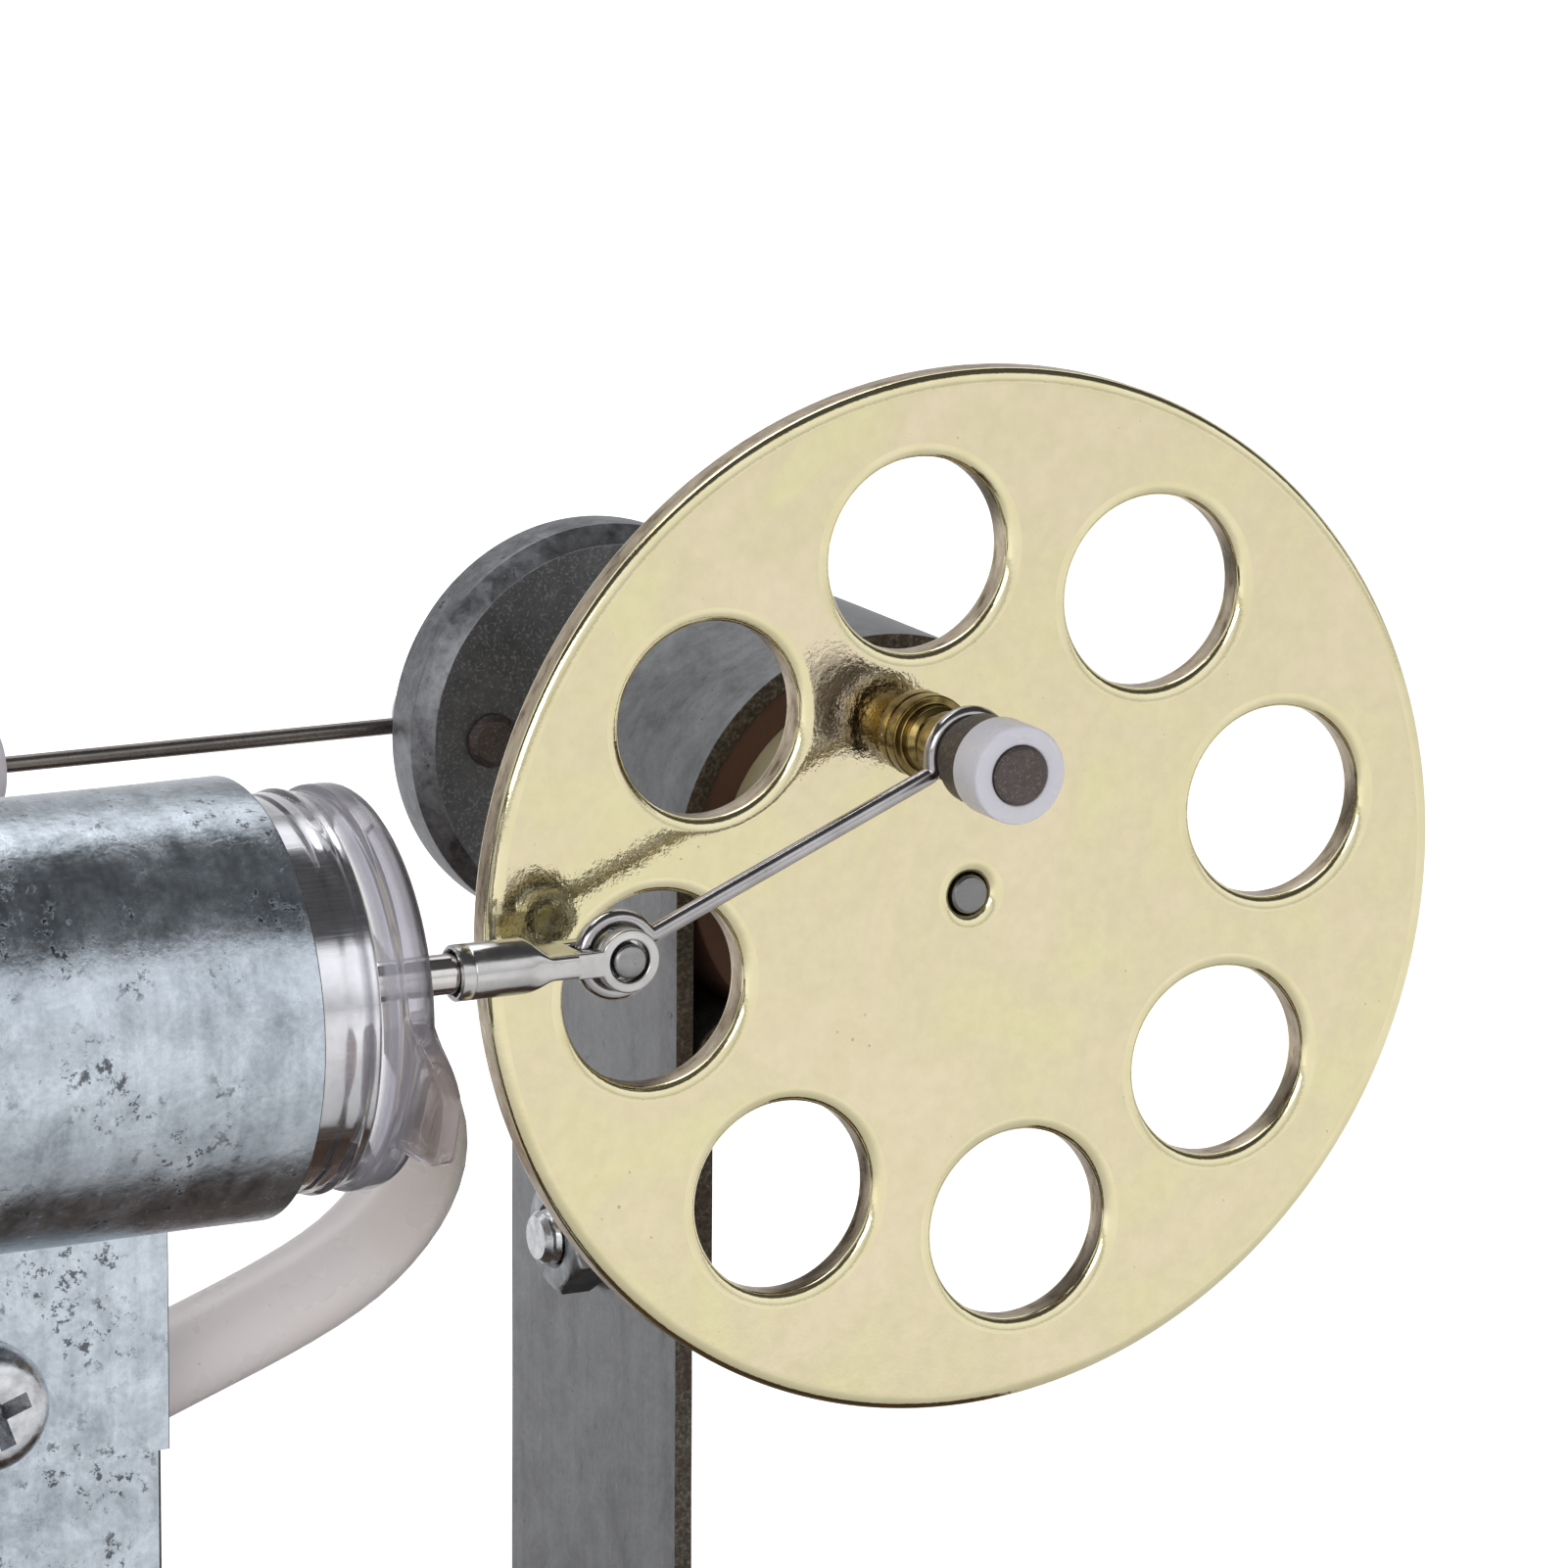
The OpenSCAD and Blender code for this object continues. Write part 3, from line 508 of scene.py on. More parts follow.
def dark_steel(name, tint, rough, grain_mm, depth):
    s = Shader(name, Metallic=0.85)
    grain = s.noise(grain_mm, 5, 0.8)
    cloud = s.noise(5, 4, 0.6)
    light = tuple(min(1, c * 1.9) for c in tint)
    base = s.ramp(s.maths("ADD", s.times(grain, 0.5), s.times(cloud, 0.5)),
                  (0.36, tint), (0.68, light))
    sparks = s.ramp(s.noise(0.16, 2, 0.5), (0.56, 0.0), (0.65, 0.6))
    s.set(Base_Color=s.mix(sparks, base, tuple(min(1, c * 3.2) for c in tint)))
    s.set(Roughness=s.ramp(grain, (0.3, rough + 0.14), (0.7, rough)))
    s.set(Normal=s.bump(grain, depth))
    return s.material


def silicone(name, tint, clear, cloudy):
    """Milky silicone rubber: light carries through the wall; faint warm clouds and a few dark specks."""
    s = Shader(name, IOR=1.41)
    cloud = s.noise(6.0, 2, 0.4)
    warm = (min(1, tint[0] * 1.02), tint[1] * 0.965, tint[2] * 0.95)
    base = s.mix(s.times(cloud, cloudy), tint, warm)
    seldom = s.ramp(s.noise(3.0, 2), (0.50, 0.0), (0.60, 1.0))
    specks = s.times(s.ramp(s.cells(1.3), (0.04, 1.0), (0.07, 0.0)), seldom)
    s.set(Base_Color=s.mix(s.times(specks, 0.6), base, (0.30, 0.27, 0.27)))
    s.set(Transmission_Weight=clear)
    s.set(Subsurface_Weight=0.25)
    s.set(Subsurface_Radius=Vector((1.0, 0.86, 0.84)))
    s.set(Subsurface_Scale=1.6 * MM)
    s.set(Roughness=s.ramp(s.noise(3.0, 2), (0.3, 0.26), (0.7, 0.30)))
    s.set(Normal=s.bump(s.noise(4, 2, 0.3), 0.03))
    return s.material


def drawn_glass(clear_to, rim, axis):
    """Clear glass, milky between one place on X and its flange, with a dark ground line on the rim.
    The fingers of the flange, which reach far from the axis, have a warm tint."""
    s = Shader("drawn_glass", IOR=1.45)
    x = s.add("ShaderNodeSeparateXYZ", {"Vector": s.place}).outputs["X"]
    haze = s.rise(x, clear_to, clear_to + 0.4 * MM)
    flange = s.rise(x, rim - 2.2 * MM, rim - 1.5 * MM)
    ground = s.rise(x, rim - 0.75 * MM, rim - 0.45 * MM)
    offset = s.add("ShaderNodeVectorMath", {0: s.place, 1: axis}, operation="SUBTRACT").outputs[0]
    across = s.add("ShaderNodeVectorMath", {0: offset, 1: Vector((0, 1, 1))}, operation="MULTIPLY").outputs[0]
    from_axis = s.add("ShaderNodeVectorMath", {0: across}, operation="LENGTH").outputs["Value"]
    finger = s.rise(from_axis, 10.2 * MM, 13.0 * MM)
    base = s.mix(haze, (0.99, 0.99, 1.0), (0.55, 0.54, 0.61))
    base = s.mix(flange, base, (0.66, 0.64, 0.70))
    base = s.mix(finger, base, (0.80, 0.67, 0.62))
    s.set(Base_Color=s.mix(s.times(ground, 0.85), base, (0.10, 0.088, 0.09)))
    milk = s.maths("SUBTRACT", s.times(haze, 0.48), s.times(flange, 0.18))
    s.set(Transmission_Weight=s.maths("SUBTRACT", 1.0, milk))
    smear = s.ramp(s.noise(7, 4, 0.6, (0.3, 1, 1)), (0.5, 0.0), (0.85, 0.05))
    s.set(Roughness=s.maths("ADD", s.times(milk, 0.10), smear))
    s.set(Normal=s.bump(s.noise(5, 2, 0.4, (0.15, 1, 1)), 0.004))
    return s.material


def clear_glass():
    """Drawn tube with faint long waves and a thin film of haze."""
    s = Shader("clear_glass", IOR=1.45)
    haze = s.noise(9, 4, 0.6, (0.3, 1, 1))
    s.set(Base_Color=s.ramp(haze, (0.4, 0.995), (0.8, 0.95)))
    s.set(Transmission_Weight=1.0)
    s.set(Roughness=s.ramp(haze, (0.5, 0.0), (0.85, 0.06)))
    s.set(Normal=s.bump(s.noise(6, 2, 0.4, (0.12, 1, 1)), 0.006))
    return s.material


def moulded(name, tint, rough, depth, through=0.0, radius=1.0):
    s = Shader(name)
    cloud = s.noise(2.2, 5, 0.6)
    grain = s.noise(0.3, 4, 0.65)
    s.set(Base_Color=s.ramp(cloud, (0.3, tuple(c * 0.82 for c in tint)), (0.7, tint)))
    s.set(Roughness=s.ramp(grain, (0.3, rough), (0.7, min(1.0, rough + 0.16))))
    s.set(Normal=s.bump(grain, depth))
    if through:
        s.set(Subsurface_Weight=through)
        s.set(Subsurface_Radius=Vector((radius, radius * 0.8, radius * 0.5)))
        s.set(Subsurface_Scale=MM)
    return s.material


def oiled_wood():
    """Straight-grained board: growth rings, fibres and pores that run along X."""
    s = Shader("oiled_wood")
    wander = s.noise(40, 3, 0.5, (0.12, 1, 1))
    rings = s.add("ShaderNodeTexWave", {
        "Vector": s.stretched((0.06, 1, 1), (0.30, 0, 0)), "Scale": 34.0, "Distortion": 16.0,
        "Detail": 4.0, "Detail Scale": 0.6, "Detail Roughness": 0.65},
        wave_type="BANDS", bands_direction="Y", wave_profile="SIN").outputs["Fac"]
    fibre = s.noise(0.5, 5, 0.7, (0.03, 1, 1))
    pores = s.ramp(s.noise(0.42, 2, 0.5, (0.06, 1, 1)), (0.62, 0.0), (0.70, 1.0))
    base = s.ramp(rings, (0.1, (0.130, 0.066, 0.034)), (0.6, (0.095, 0.047, 0.024)),
                  (0.95, (0.055, 0.028, 0.015)))
    base = s.mix(s.ramp(wander, (0.35, 0.0), (0.7, 0.55)), base, (0.145, 0.085, 0.050))
    base = s.mix(s.times(fibre, 0.45), base, (0.055, 0.030, 0.018))
    s.set(Base_Color=s.mix(s.times(pores, 0.7), base, (0.020, 0.011, 0.008)))
    s.set(Roughness=s.ramp(fibre, (0.3, 0.36), (0.7, 0.52)))
    s.set(Normal=s.bump(pores, -0.07, s.bump(fibre, 0.035)))
    s.set(Coat_Weight=0.12)
    s.set(Coat_Roughness=0.3)
    return s.material


WHEEL_PLATE = plated_wheel()
WHEEL_EDGE = wheel_edge()
WHEEL_ROUNDING = wheel_rounding()
BARREL_STRIP = galvanised(
    "strip_bright", (0.36, 0.405, 0.45), (0.70, 0.77, 0.84), 3.0, 0.16, 0.09, (1, 0.07, 0.07))
BEARING_STRIP = galvanised(
    "strip_dull", (0.165, 0.166, 0.17), (0.30, 0.303, 0.31), 3, 0.34, 0.03, (1, 1, 0.07))
SHEARED = sheared_edge()
ZINC = plated_fastener("bright_zinc", (0.74, 0.75, 0.77), 0.16)
DULL_ZINC = plated_fastener("dull_zinc", (0.42, 0.435, 0.45), 0.30)
PISTON_STEEL = polished_steel("piston_steel", (0.90, 0.90, 0.92), 0.09, (0.05, 1, 1))
ROD_STEEL = polished_steel("rod_steel", (0.74, 0.71, 0.69), 0.06, (0.05, 1, 1))
WIRE_STEEL = polished_steel("wire_steel", (0.52, 0.495, 0.50), 0.10, (1, 1, 1), 0.25)
DARK_WIRE = polished_steel("dark_wire", (0.34, 0.31, 0.29), 0.25, (1, 1, 1), 0.3)
SHAFT_STEEL = polished_steel("shaft_steel", (0.27, 0.265, 0.265), 0.30, (1, 0.05, 1), 0.25)
NICKEL = polished_steel("satin_nickel", (0.66, 0.645, 0.635), 0.14, (0.2, 1, 1), 0.12)
RIVET_STEEL = polished_steel("rivet_steel", (0.36, 0.355, 0.355), 0.24, (1, 1, 1), 0.30)
BRASS = brass("turned_brass", (0.30, 0.20, 0.07), (0.62, 0.47, 0.20))
STUD_BRASS = brass("tarnished_brass", (0.075, 0.050, 0.016), (0.27, 0.20, 0.075))
PIN_END = dark_steel("screw_steel", (0.075, 0.062, 0.058), 0.36, 0.30, 0.09)
DISC_FACE = dark_steel("disc_steel", (0.105, 0.108, 0.115), 0.46, 0.8, 0.02)
DISC_EDGE = galvanised("disc_edge", (0.13, 0.132, 0.14), (0.31, 0.315, 0.33), 1.6, 0.34, 0.06)
HOSE = silicone("hose_silicone", (0.88, 0.835, 0.83), 0.10, 1.0)
SLEEVE = silicone("sleeve_silicone", (0.74, 0.735, 0.80), 0.12, 0.6)
GLASS = drawn_glass(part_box("power_piston")[1].x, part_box("power_cylinder")[1].x, ORIGIN + POWER_AXIS * MM)
TUBE_GLASS = clear_glass()
NYLON = moulded("natural_nylon", (0.83, 0.77, 0.60), 0.34, 0.01, 0.5, 1.5)
FIBRE = moulded("brown_fibre", (0.105, 0.048, 0.030), 0.55, 0.04)
STOPPER_RUBBER = moulded("stopper_silicone", (0.50, 0.47, 0.43), 0.44, 0.02, 0.2, 0.6)
ALUMINIUM = polished_steel("spun_aluminium", (0.83, 0.83, 0.84), 0.24, (1, 0.06, 0.06))
WOOD = oiled_wood()


# ---------------------------------------------------------------- pieces

BODY_OF = {node: body for body, nodes in frame["record"]["behaviour"]["bodies"].items() for node in nodes}
AXIS_INDEX = {"X": 0, "Y": 1, "Z": 2}


def replace(node, part, materials, sharp=35, face_slots=None):
    """Shows a finer mesh in place of a CAD node, on the same body.
    The part's points are in millimetres in the shaft frame."""
    points, faces = part
    mesh = bpy.data.meshes.new(node + "_fine")
    mesh.from_pydata([Vector(p) * MM + ORIGIN for p in points], [], faces)
    for material in materials:
        mesh.materials.append(material)
    if face_slots is not None:
        mesh.polygons.foreach_set("material_index", face_slots)
    mesh.validate()
    face_outward(mesh)
    mesh.shade_smooth()
    mesh.set_sharp_from_angle(angle=math.radians(sharp))
    piece = add_object(node + "_fine", mesh)
    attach(piece, BODY_OF[node])
    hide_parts(node)


def span(node, axis):
    """Where a node starts and ends along an axis."""
    index = AXIS_INDEX[axis]
    return low(node)[index], high(node)[index]


def radius_of(node, axis):
    """Radius of a round node about an axis."""
    return size(node)[(AXIS_INDEX[axis] + 1) % 3] / 2


def centre_line(node, axis):
    centre = middle(node)
    centre[AXIS_INDEX[axis]] = 0
    return centre


def spin(node, axis, profile, rounding, closed=False, sides=96, warp=None):
    """The turned form of a node, about the node's own centre line."""
    return lathe(fillet(profile, rounding, closed), axis, centre_line(node, axis), closed, sides, warp)


def turned(node, axis, profile, material, rounding, closed=False, sides=96, warp=None):
    """Replaces a node by its turned form."""
    replace(node, spin(node, axis, profile, rounding, closed, sides, warp), [material])


def rod_profile(radius, start, end):
    return [(0, start), (radius, start), (radius, end), (0, end)]


def tube_profile(radius, bore, start, end):
    return [(bore, start), (radius, start), (radius, end), (bore, end)]


def carve(part, tool):
    """Cuts the tool out of the part."""
    objects = []
    for points, faces in (part, tool):
        mesh = bpy.data.meshes.new("carving")
        mesh.from_pydata(points, [], faces)
        face_outward(mesh)
        objects.append(add_object("carving", mesh))
    block, blade = objects
    cut = block.modifiers.new("cut", "BOOLEAN")
    cut.object = blade
    cut.solver = "EXACT"
    result = block.evaluated_get(bpy.context.evaluated_depsgraph_get()).to_mesh()
    points = [v.co.copy() for v in result.vertices]
    faces = [list(p.vertices) for p in result.polygons]
    for item in objects:
        mesh = item.data
        bpy.data.objects.remove(item)
        bpy.data.meshes.remove(mesh)
    return points, faces


def aim(direction, turn):
    """The rotation that takes +Z to a direction, after a turn about +Z in degrees."""
    facing = direction.to_track_quat("Z", "Y").to_matrix()
    return facing @ Matrix.Rotation(math.radians(turn), 3, "Z")


# Board

def base_board():
    lo, hi, r = low("base_board"), high("base_board"), 5
    corners = [(lo.x + r, lo.y + r), (hi.x - r, lo.y + r), (hi.x - r, hi.y - r), (lo.x + r, hi.y - r)]
    outline = [p for k, centre in enumerate(corners) for p in arc(centre, r, 180 + 90 * k, 270 + 90 * k, 9)]
    board = plate([outline], hi.z - lo.z, 1.2)[:2]
    replace("base_board", moved(board, (0, 0, lo.z)), [WOOD], 30)


# Screws and nuts

def cross_outline(reach, half_width):
    """A cross with four equal arms."""
    quarter = [(reach, half_width), (half_width, half_width), (half_width, reach)]
    quarter_turns = [(1, 0), (0, 1), (-1, 0), (0, -1)]
    return [(c * x - s * y, s * x + c * y) for c, s in quarter_turns for x, y in quarter]


def cross_recess(head_r, head_h):
    """A tapered cross, from inside the head to above it."""
    levels = [(0.30, 0.22, 0.07), (0.95, 0.54, 0.125), (1.5, 0.80, 0.17)]    # height, reach, half width
    return loft([[Vector((x * head_r, y * head_r, height * head_h)) for x, y in cross_outline(reach, half_w)]
                 for height, reach, half_w in levels])


def pan_screw(shank_r, shank_l, head_r, head_h, thread_l=0):
    """A pan-head screw along +Z with its seat at Z = 0."""
    pitch, depth, rows_per_turn, tip_h, edge_h = 0.5, 0.17, 8, 0.3, 0.30 * head_h
    tip = [(0, -shank_l), (shank_r - 0.3, -shank_l), (shank_r - 0.05, -shank_l + tip_h)]
    threaded = [(shank_r, -shank_l + tip_h + k * pitch / rows_per_turn)
                for k in range(int(thread_l / pitch * rows_per_turn))]
    head = [(shank_r, -0.02), (shank_r, 0), (head_r - 0.25, 0), (head_r - 0.07, 0.05), (head_r, 0.2)]
    head += [(head_r * (0.55 + 0.45 * math.cos(a)), edge_h + (head_h - edge_h) * math.sin(a))
             for a in quarter_turn(10)]
    head += [(0.3 * head_r, head_h), (0, head_h)]

    def thread(angle, r, z, index):
        if not len(tip) <= index < len(tip) + len(threaded):
            return r, z
        phase = (z / pitch - angle / (2 * math.pi)) % 1
        return r - depth * abs(2 * phase - 1), z

    return carve(lathe(tip + threaded + head, "Z", sides=48, warp=thread), cross_recess(head_r, head_h))


def hex_nut(corner_r, bore_r, height):
    """A chamfered hexagon nut along +Z with its seat at Z = 0."""
    chamfer_h, lip, steps = 0.42, 0.25, 5
    apothem = corner_r * math.cos(math.pi / 6)
    drop = corner_r - apothem + 0.12
    bevel = [(corner_r - drop * (1 - k / steps) ** 1.4, chamfer_h * k / steps) for k in range(steps + 1)]
    half = [(bore_r, lip), (bore_r + lip, 0)] + bevel

    def hexagon(angle, r, z, index):
        flat = apothem / math.cos((angle + math.pi / 6) % (math.pi / 3) - math.pi / 6)
        return min(r, flat), z

    return lathe(half + [(r, height - z) for r, z in half[::-1]], "Z", closed=True, warp=hexagon)


def clamp_screw(post, axis, sign):
    """The clamp screw and nut of a post. The head faces along the axis, towards the sign."""
    screw, nut = post + "_screw", post + "_nut"
    head_h, head_r, shank_r, thread_l, turn = 2.1, size(screw).z / 2, 1.45, 3.4, 20
    out = Vector([sign if name == axis else 0 for name in AXES])
    tip, top = sorted(span(screw, axis), key=lambda place: place * sign)
    far, near = sorted(span(nut, axis), key=lambda place: place * sign)
    screw_place, nut_place = middle(screw), middle(nut)
    screw_place[AXIS_INDEX[axis]] = top - sign * head_h
    nut_place[AXIS_INDEX[axis]] = near
    part = pan_screw(shank_r, abs(top - tip) - head_h, head_r, head_h, thread_l)
    replace(screw, moved(part, screw_place, aim(out, turn)), [ZINC], 32)
    part = hex_nut(3.175, 1.5, abs(near - far))
    replace(nut, moved(part, nut_place, aim(-out, turn - 10)), [DULL_ZINC], 32)


def foot_screws():
    """Two screws through each post's foot."""
    head_h, head_r, shank_r, shank_l, apart, from_leg = 1.7, 2.7, 1.25, 8.5, 10, 11 + STRIP_T
    screw = pan_screw(shank_r, shank_l, head_r, head_h)
    top = high("foot_screws").z - head_h
    parts = []
    for post in ("bearing_post", "power_post", "displacer_post"):
        centre = middle(post)
        for side in (-apart / 2, apart / 2):
            place = (centre.x + side, high(post).y - from_leg, top)
            if post == "bearing_post":
                place = (low(post).x + from_leg, centre.y + side, top)
            parts.append(moved(screw, place, Matrix.Rotation(0.9 * len(parts), 3, "Z")))
    replace("foot_screws", join_parts(*parts), [ZINC], 32)


# Strip posts

def strip_path(in_r, leg_h):
    """The middle of the strip in its own X and Z: foot, leg, over the loop, and down the tab."""
    half_t = STRIP_T / 2
    mid_r, bend_r, foot_bend_r, foot_l, tab_gap, tab_z = in_r + half_t, 2, 1, 19, 0.1, -25
    foot_rows, leg_rows, tab_rows = 6, 24, 8
    bend_x = -in_r + tab_gap + half_t + bend_r
    bend_z = -math.sqrt((mid_r + bend_r) ** 2 - bend_x ** 2)
    meet = math.degrees(math.atan2(-bend_z, -bend_x))
    foot_z = -leg_h + half_t
    corner = (-in_r + foot_bend_r, foot_z + foot_bend_r + half_t)
    path = [(-in_r + foot_l - (foot_l - foot_bend_r) * k / foot_rows, foot_z) for k in range(foot_rows)]
    path += arc(corner, foot_bend_r + half_t, 270, 180, 9)
    path += [(-mid_r, corner[1] * (1 - k / leg_rows)) for k in range(1, leg_rows)]
    path += arc((0, 0), mid_r, 180, meet - 180, 3)
    path += arc((bend_x, bend_z), bend_r, meet, 180, 9)[1:]
    path += [(bend_x - bend_r, bend_z + (tab_z - bend_z) * k / tab_rows) for k in range(1, tab_rows + 1)]
    return path


def strip_section(width):
    """Across the strip: flat faces, a rolled-over corner on one side and a burr on the other."""
    half_t, half_w, rolled, burr, rows = STRIP_T / 2, width / 2, 0.17, 0.06, 8
    corners = [(half_t, -half_w), (half_t, half_w), (-half_t, half_w), (-half_t, -half_w)]
    outline = fillet(corners, [rolled, rolled, burr, burr], closed=True)
    out = []
    for here, after in zip(outline, outline[1:] + outline[:1]):
        out.append(here)
        if abs(after[1] - here[1]) > half_w:
            out += [(here[0], here[1] + (after[1] - here[1]) * k / rows) for k in range(1, rows)]
    return out


def strip_post(post, to_shaft, in_r, leg_h, material):
    """A post bent from one strip. to_shaft places a point of the strip's own frame in the shaft frame."""
    width, wobble = 20.0, 0.035
    section = strip_section(width)
    path = [Vector((x, width / 2, z)) for x, z in strip_path(in_r, leg_h)]
    points, faces = sweep(path, section, UP)
    shifts = [noise.noise_vector(p * 0.11 + Vector((in_r, 0, 7))) for p in points]
    points = [to_shaft(p + wobble * Vector((shift.x, 0, shift.z))) for p, shift in zip(points, shifts)]
    at_side = [abs(y) > width / 2 - 0.2 for x, y in section]
    cut = [int(here and after) for here, after in zip(at_side, at_side[1:] + at_side[:1])]
    face_slots = [cut[i % len(cut)] for i in range(len(faces) - 2)] + [1, 1]
    replace(post, (points, faces), [material, SHEARED], 40, face_slots)


def strip_posts():
    start_y = low("bearing_post").y
    strip_post("bearing_post", lambda p: Vector((p.x, p.y + start_y, p.z)), 10.5, -low("bearing_post").z,
               BEARING_STRIP)
    for post, tube, in_r in (("power_post", POWER_AXIS, 9.75), ("displacer_post", DISPLACER_AXIS, 10.05)):
        start_x = low(post).x
        strip_post(post, lambda p: Vector((start_x + p.y, tube.y - p.x, tube.z + p.z)), in_r,
                   tube.z - low(post).z, BARREL_STRIP)


# Bearing

def bearing():
    """A fibre liner in the bearing post's loop, and in that a nylon bush with recessed ends."""
    bush_r = radius_of("bearing_bush", "Y")
    liner = tube_profile(radius_of("bearing_liner", "Y"), bush_r + 0.05, *span("bearing_liner", "Y"))
    turned("bearing_liner", "Y", liner, FIBRE, 0.25, True)
    y0, y1 = span("bearing_bush", "Y")
    boss, recess = 3.2, 0.35
    half = [(SHAFT_R + 0.05, y0), (boss, y0), (boss + 0.3, y0 + recess), (bush_r - 0.9, y0 + recess),
            (bush_r - 0.6, y0), (bush_r, y0)]
    bush = half + [(r, y0 + y1 - y) for r, y in half[::-1]]
    turned("bearing_bush", "Y", bush, NYLON, 0.2, True, 128)


# Wheel

def flywheel():
    hole_count, hole_r, ring_r, phase = 8, 5.0, 18.0, math.radians(9.8)
    loops = [circle_loop((0, 0), radius_of("flywheel", "Y"), 256)]
    for k in range(hole_count):
        angle = phase + 2 * math.pi * k / hole_count
        loops.append(circle_loop((ring_r * math.cos(angle), ring_r * math.sin(angle)), hole_r, 96, True))
    loops.append(circle_loop((0, 0), SHAFT_R + 0.1, 48, True))
    points, faces, kinds = plate(loops, size("flywheel").y, 0.45, 8, 0.75)
    slot_of = {"face": 0, "edge": 1, "wall": 2}
    replace("flywheel", ([p.xzy for p in points], faces), [WHEEL_PLATE, WHEEL_ROUNDING, WHEEL_EDGE], 50,
            [slot_of[kind] for kind in kinds])


def wheel_hub():
    """The hub behind the wheel, and its grub screw with a hexagon socket."""
    y0, y1 = span("flywheel_hub", "Y")
    z0, z1 = span("hub_grub_screw", "Z")
    hub_r, bore = radius_of("flywheel_hub", "Y"), SHAFT_R + 0.02
    grub_r, socket_r, socket_l = radius_of("hub_grub_screw", "Z"), 0.42, 0.8
    place = centre_line("hub_grub_screw", "Z")
    hub = [(bore, y0), (hub_r, y0), (hub_r, y1 - 0.9), (hub_r - 0.5, y1), (bore + 0.3, y1), (bore, y1 - 0.3)]
    hole = lathe(rod_profile(grub_r + 0.05, bore, hub_r + 1), "Z", place, sides=48)
    replace("flywheel_hub", carve(spin("flywheel_hub", "Y", hub, 0.12, True), hole), [BRASS])
    grub = [(0, z0), (grub_r - 0.2, z0), (grub_r, z0 + 0.2), (grub_r, z1 - 0.12), (grub_r - 0.12, z1),
            (0, z1)]
    socket = lathe(rod_profile(socket_r, z1 - socket_l, z1 + 1), "Z", sides=6)
    replace("hub_grub_screw", moved(carve(lathe(grub, "Z", sides=48), socket), place), [PIN_END])


def spacer(node):
    profile = tube_profile(radius_of(node, "Y"), SHAFT_R + 0.02, *span(node, "Y"))
    turned(node, "Y", profile, BRASS, 0.18, True, 64)


def crankshaft():
    y0, y1 = span("crankshaft", "Y")
    profile = [(0, y0 + 0.02), (SHAFT_R - 0.35, y0), (SHAFT_R - 0.12, y0 + 0.01), (SHAFT_R, y0 + 0.15),
               (SHAFT_R, y1 - 0.1), (SHAFT_R - 0.1, y1), (0, y1)]
    turned("crankshaft", "Y", profile, SHAFT_STEEL, 0.05, sides=64)


def crank_stud():
    """A turned bush with a flange on the wheel and a deep groove above the flange."""
    y0, y1 = span("crank_stud", "Y")
    flange_r, body_r, neck_r, tail_r, flange_y, foot_y = 2.2, 1.75, 1.4, 1.0, -0.9, -0.02
    profile = [(0, y0), (body_r - 0.2, y0), (body_r, y0 + 0.2), (body_r, -2.5), (neck_r, -2.3),
               (neck_r, -1.7), (body_r, -1.5), (body_r, flange_y), (flange_r, flange_y), (flange_r, foot_y),
               (tail_r, foot_y), (tail_r, y1), (0, y1)]
    turned("crank_stud", "Y", profile, STUD_BRASS, 0.13)


def crank_disc():
    y0, y1 = span("crank_disc", "Y")
    r, bore, chamfer = radius_of("crank_disc", "Y"), SHAFT_R + 0.02, 1.0
    profile = [(bore, y0), (r - chamfer, y0), (r, y0 + chamfer), (r, y1), (bore, y1)]
    points, faces = spin("crank_disc", "Y", profile, 0.12, True, 160)
    centre = centre_line("crank_disc", "Y")
    middles = [sum((points[i] for i in face), Vector()) / len(face) for face in faces]
    face_slots = [int((place - centre).xz.length > r - chamfer - 0.05) for place in middles]
    replace("crank_disc", (points, faces), [DISC_FACE, DISC_EDGE], 25, face_slots)


def displacer_stud():
    """The stud through the rear disc: a flat head in front, a flange and a barrel behind."""
    y0, y1 = span("displacer_crank_stud", "Y")
    disc_y0, disc_y1 = span("crank_disc", "Y")
    front, back = disc_y0 - 0.02, disc_y1 + 0.02
    head_r, tail_r, flange_r, flange_l, body_r = 1.5, 1.0, 2.2, 0.7, 1.75
    profile = [(0, y0), (0.75 * head_r, y0 + 0.12), (head_r, disc_y0 - 0.25), (head_r, front),
               (tail_r, front), (tail_r, back), (flange_r, back), (flange_r, back + flange_l),
               (body_r, back + flange_l), (body_r, y1), (0, y1)]
    turned("displacer_crank_stud", "Y", profile, PIN_END, 0.1, sides=64)


def crank_screw(node):
    y0, y1 = span(node, "Y")
    r = radius_of(node, "Y")
    profile = [(0, y0), (r - 0.16, y0), (r, y0 + 0.12), (r, y1 - 0.12), (r - 0.14, y1), (0, y1)]
    turned(node, "Y", profile, PIN_END, 0.06, sides=64)


def pin_collar():
    """A dark collar between the power rod's eye and its sleeve."""
    node = "power_pin_collar"
    y0, y1 = span(node, "Y")
    r, bore, step = radius_of(node, "Y"), 1.52, 0.25
    profile = [(bore, y0), (r - 0.2, y0), (r, y0 + 0.25), (r, y1 - 0.7), (r - step, y1 - 0.6), (r - step, y1),
               (bore, y1)]
    turned(node, "Y", profile, PIN_END, 0.12, True, 64)


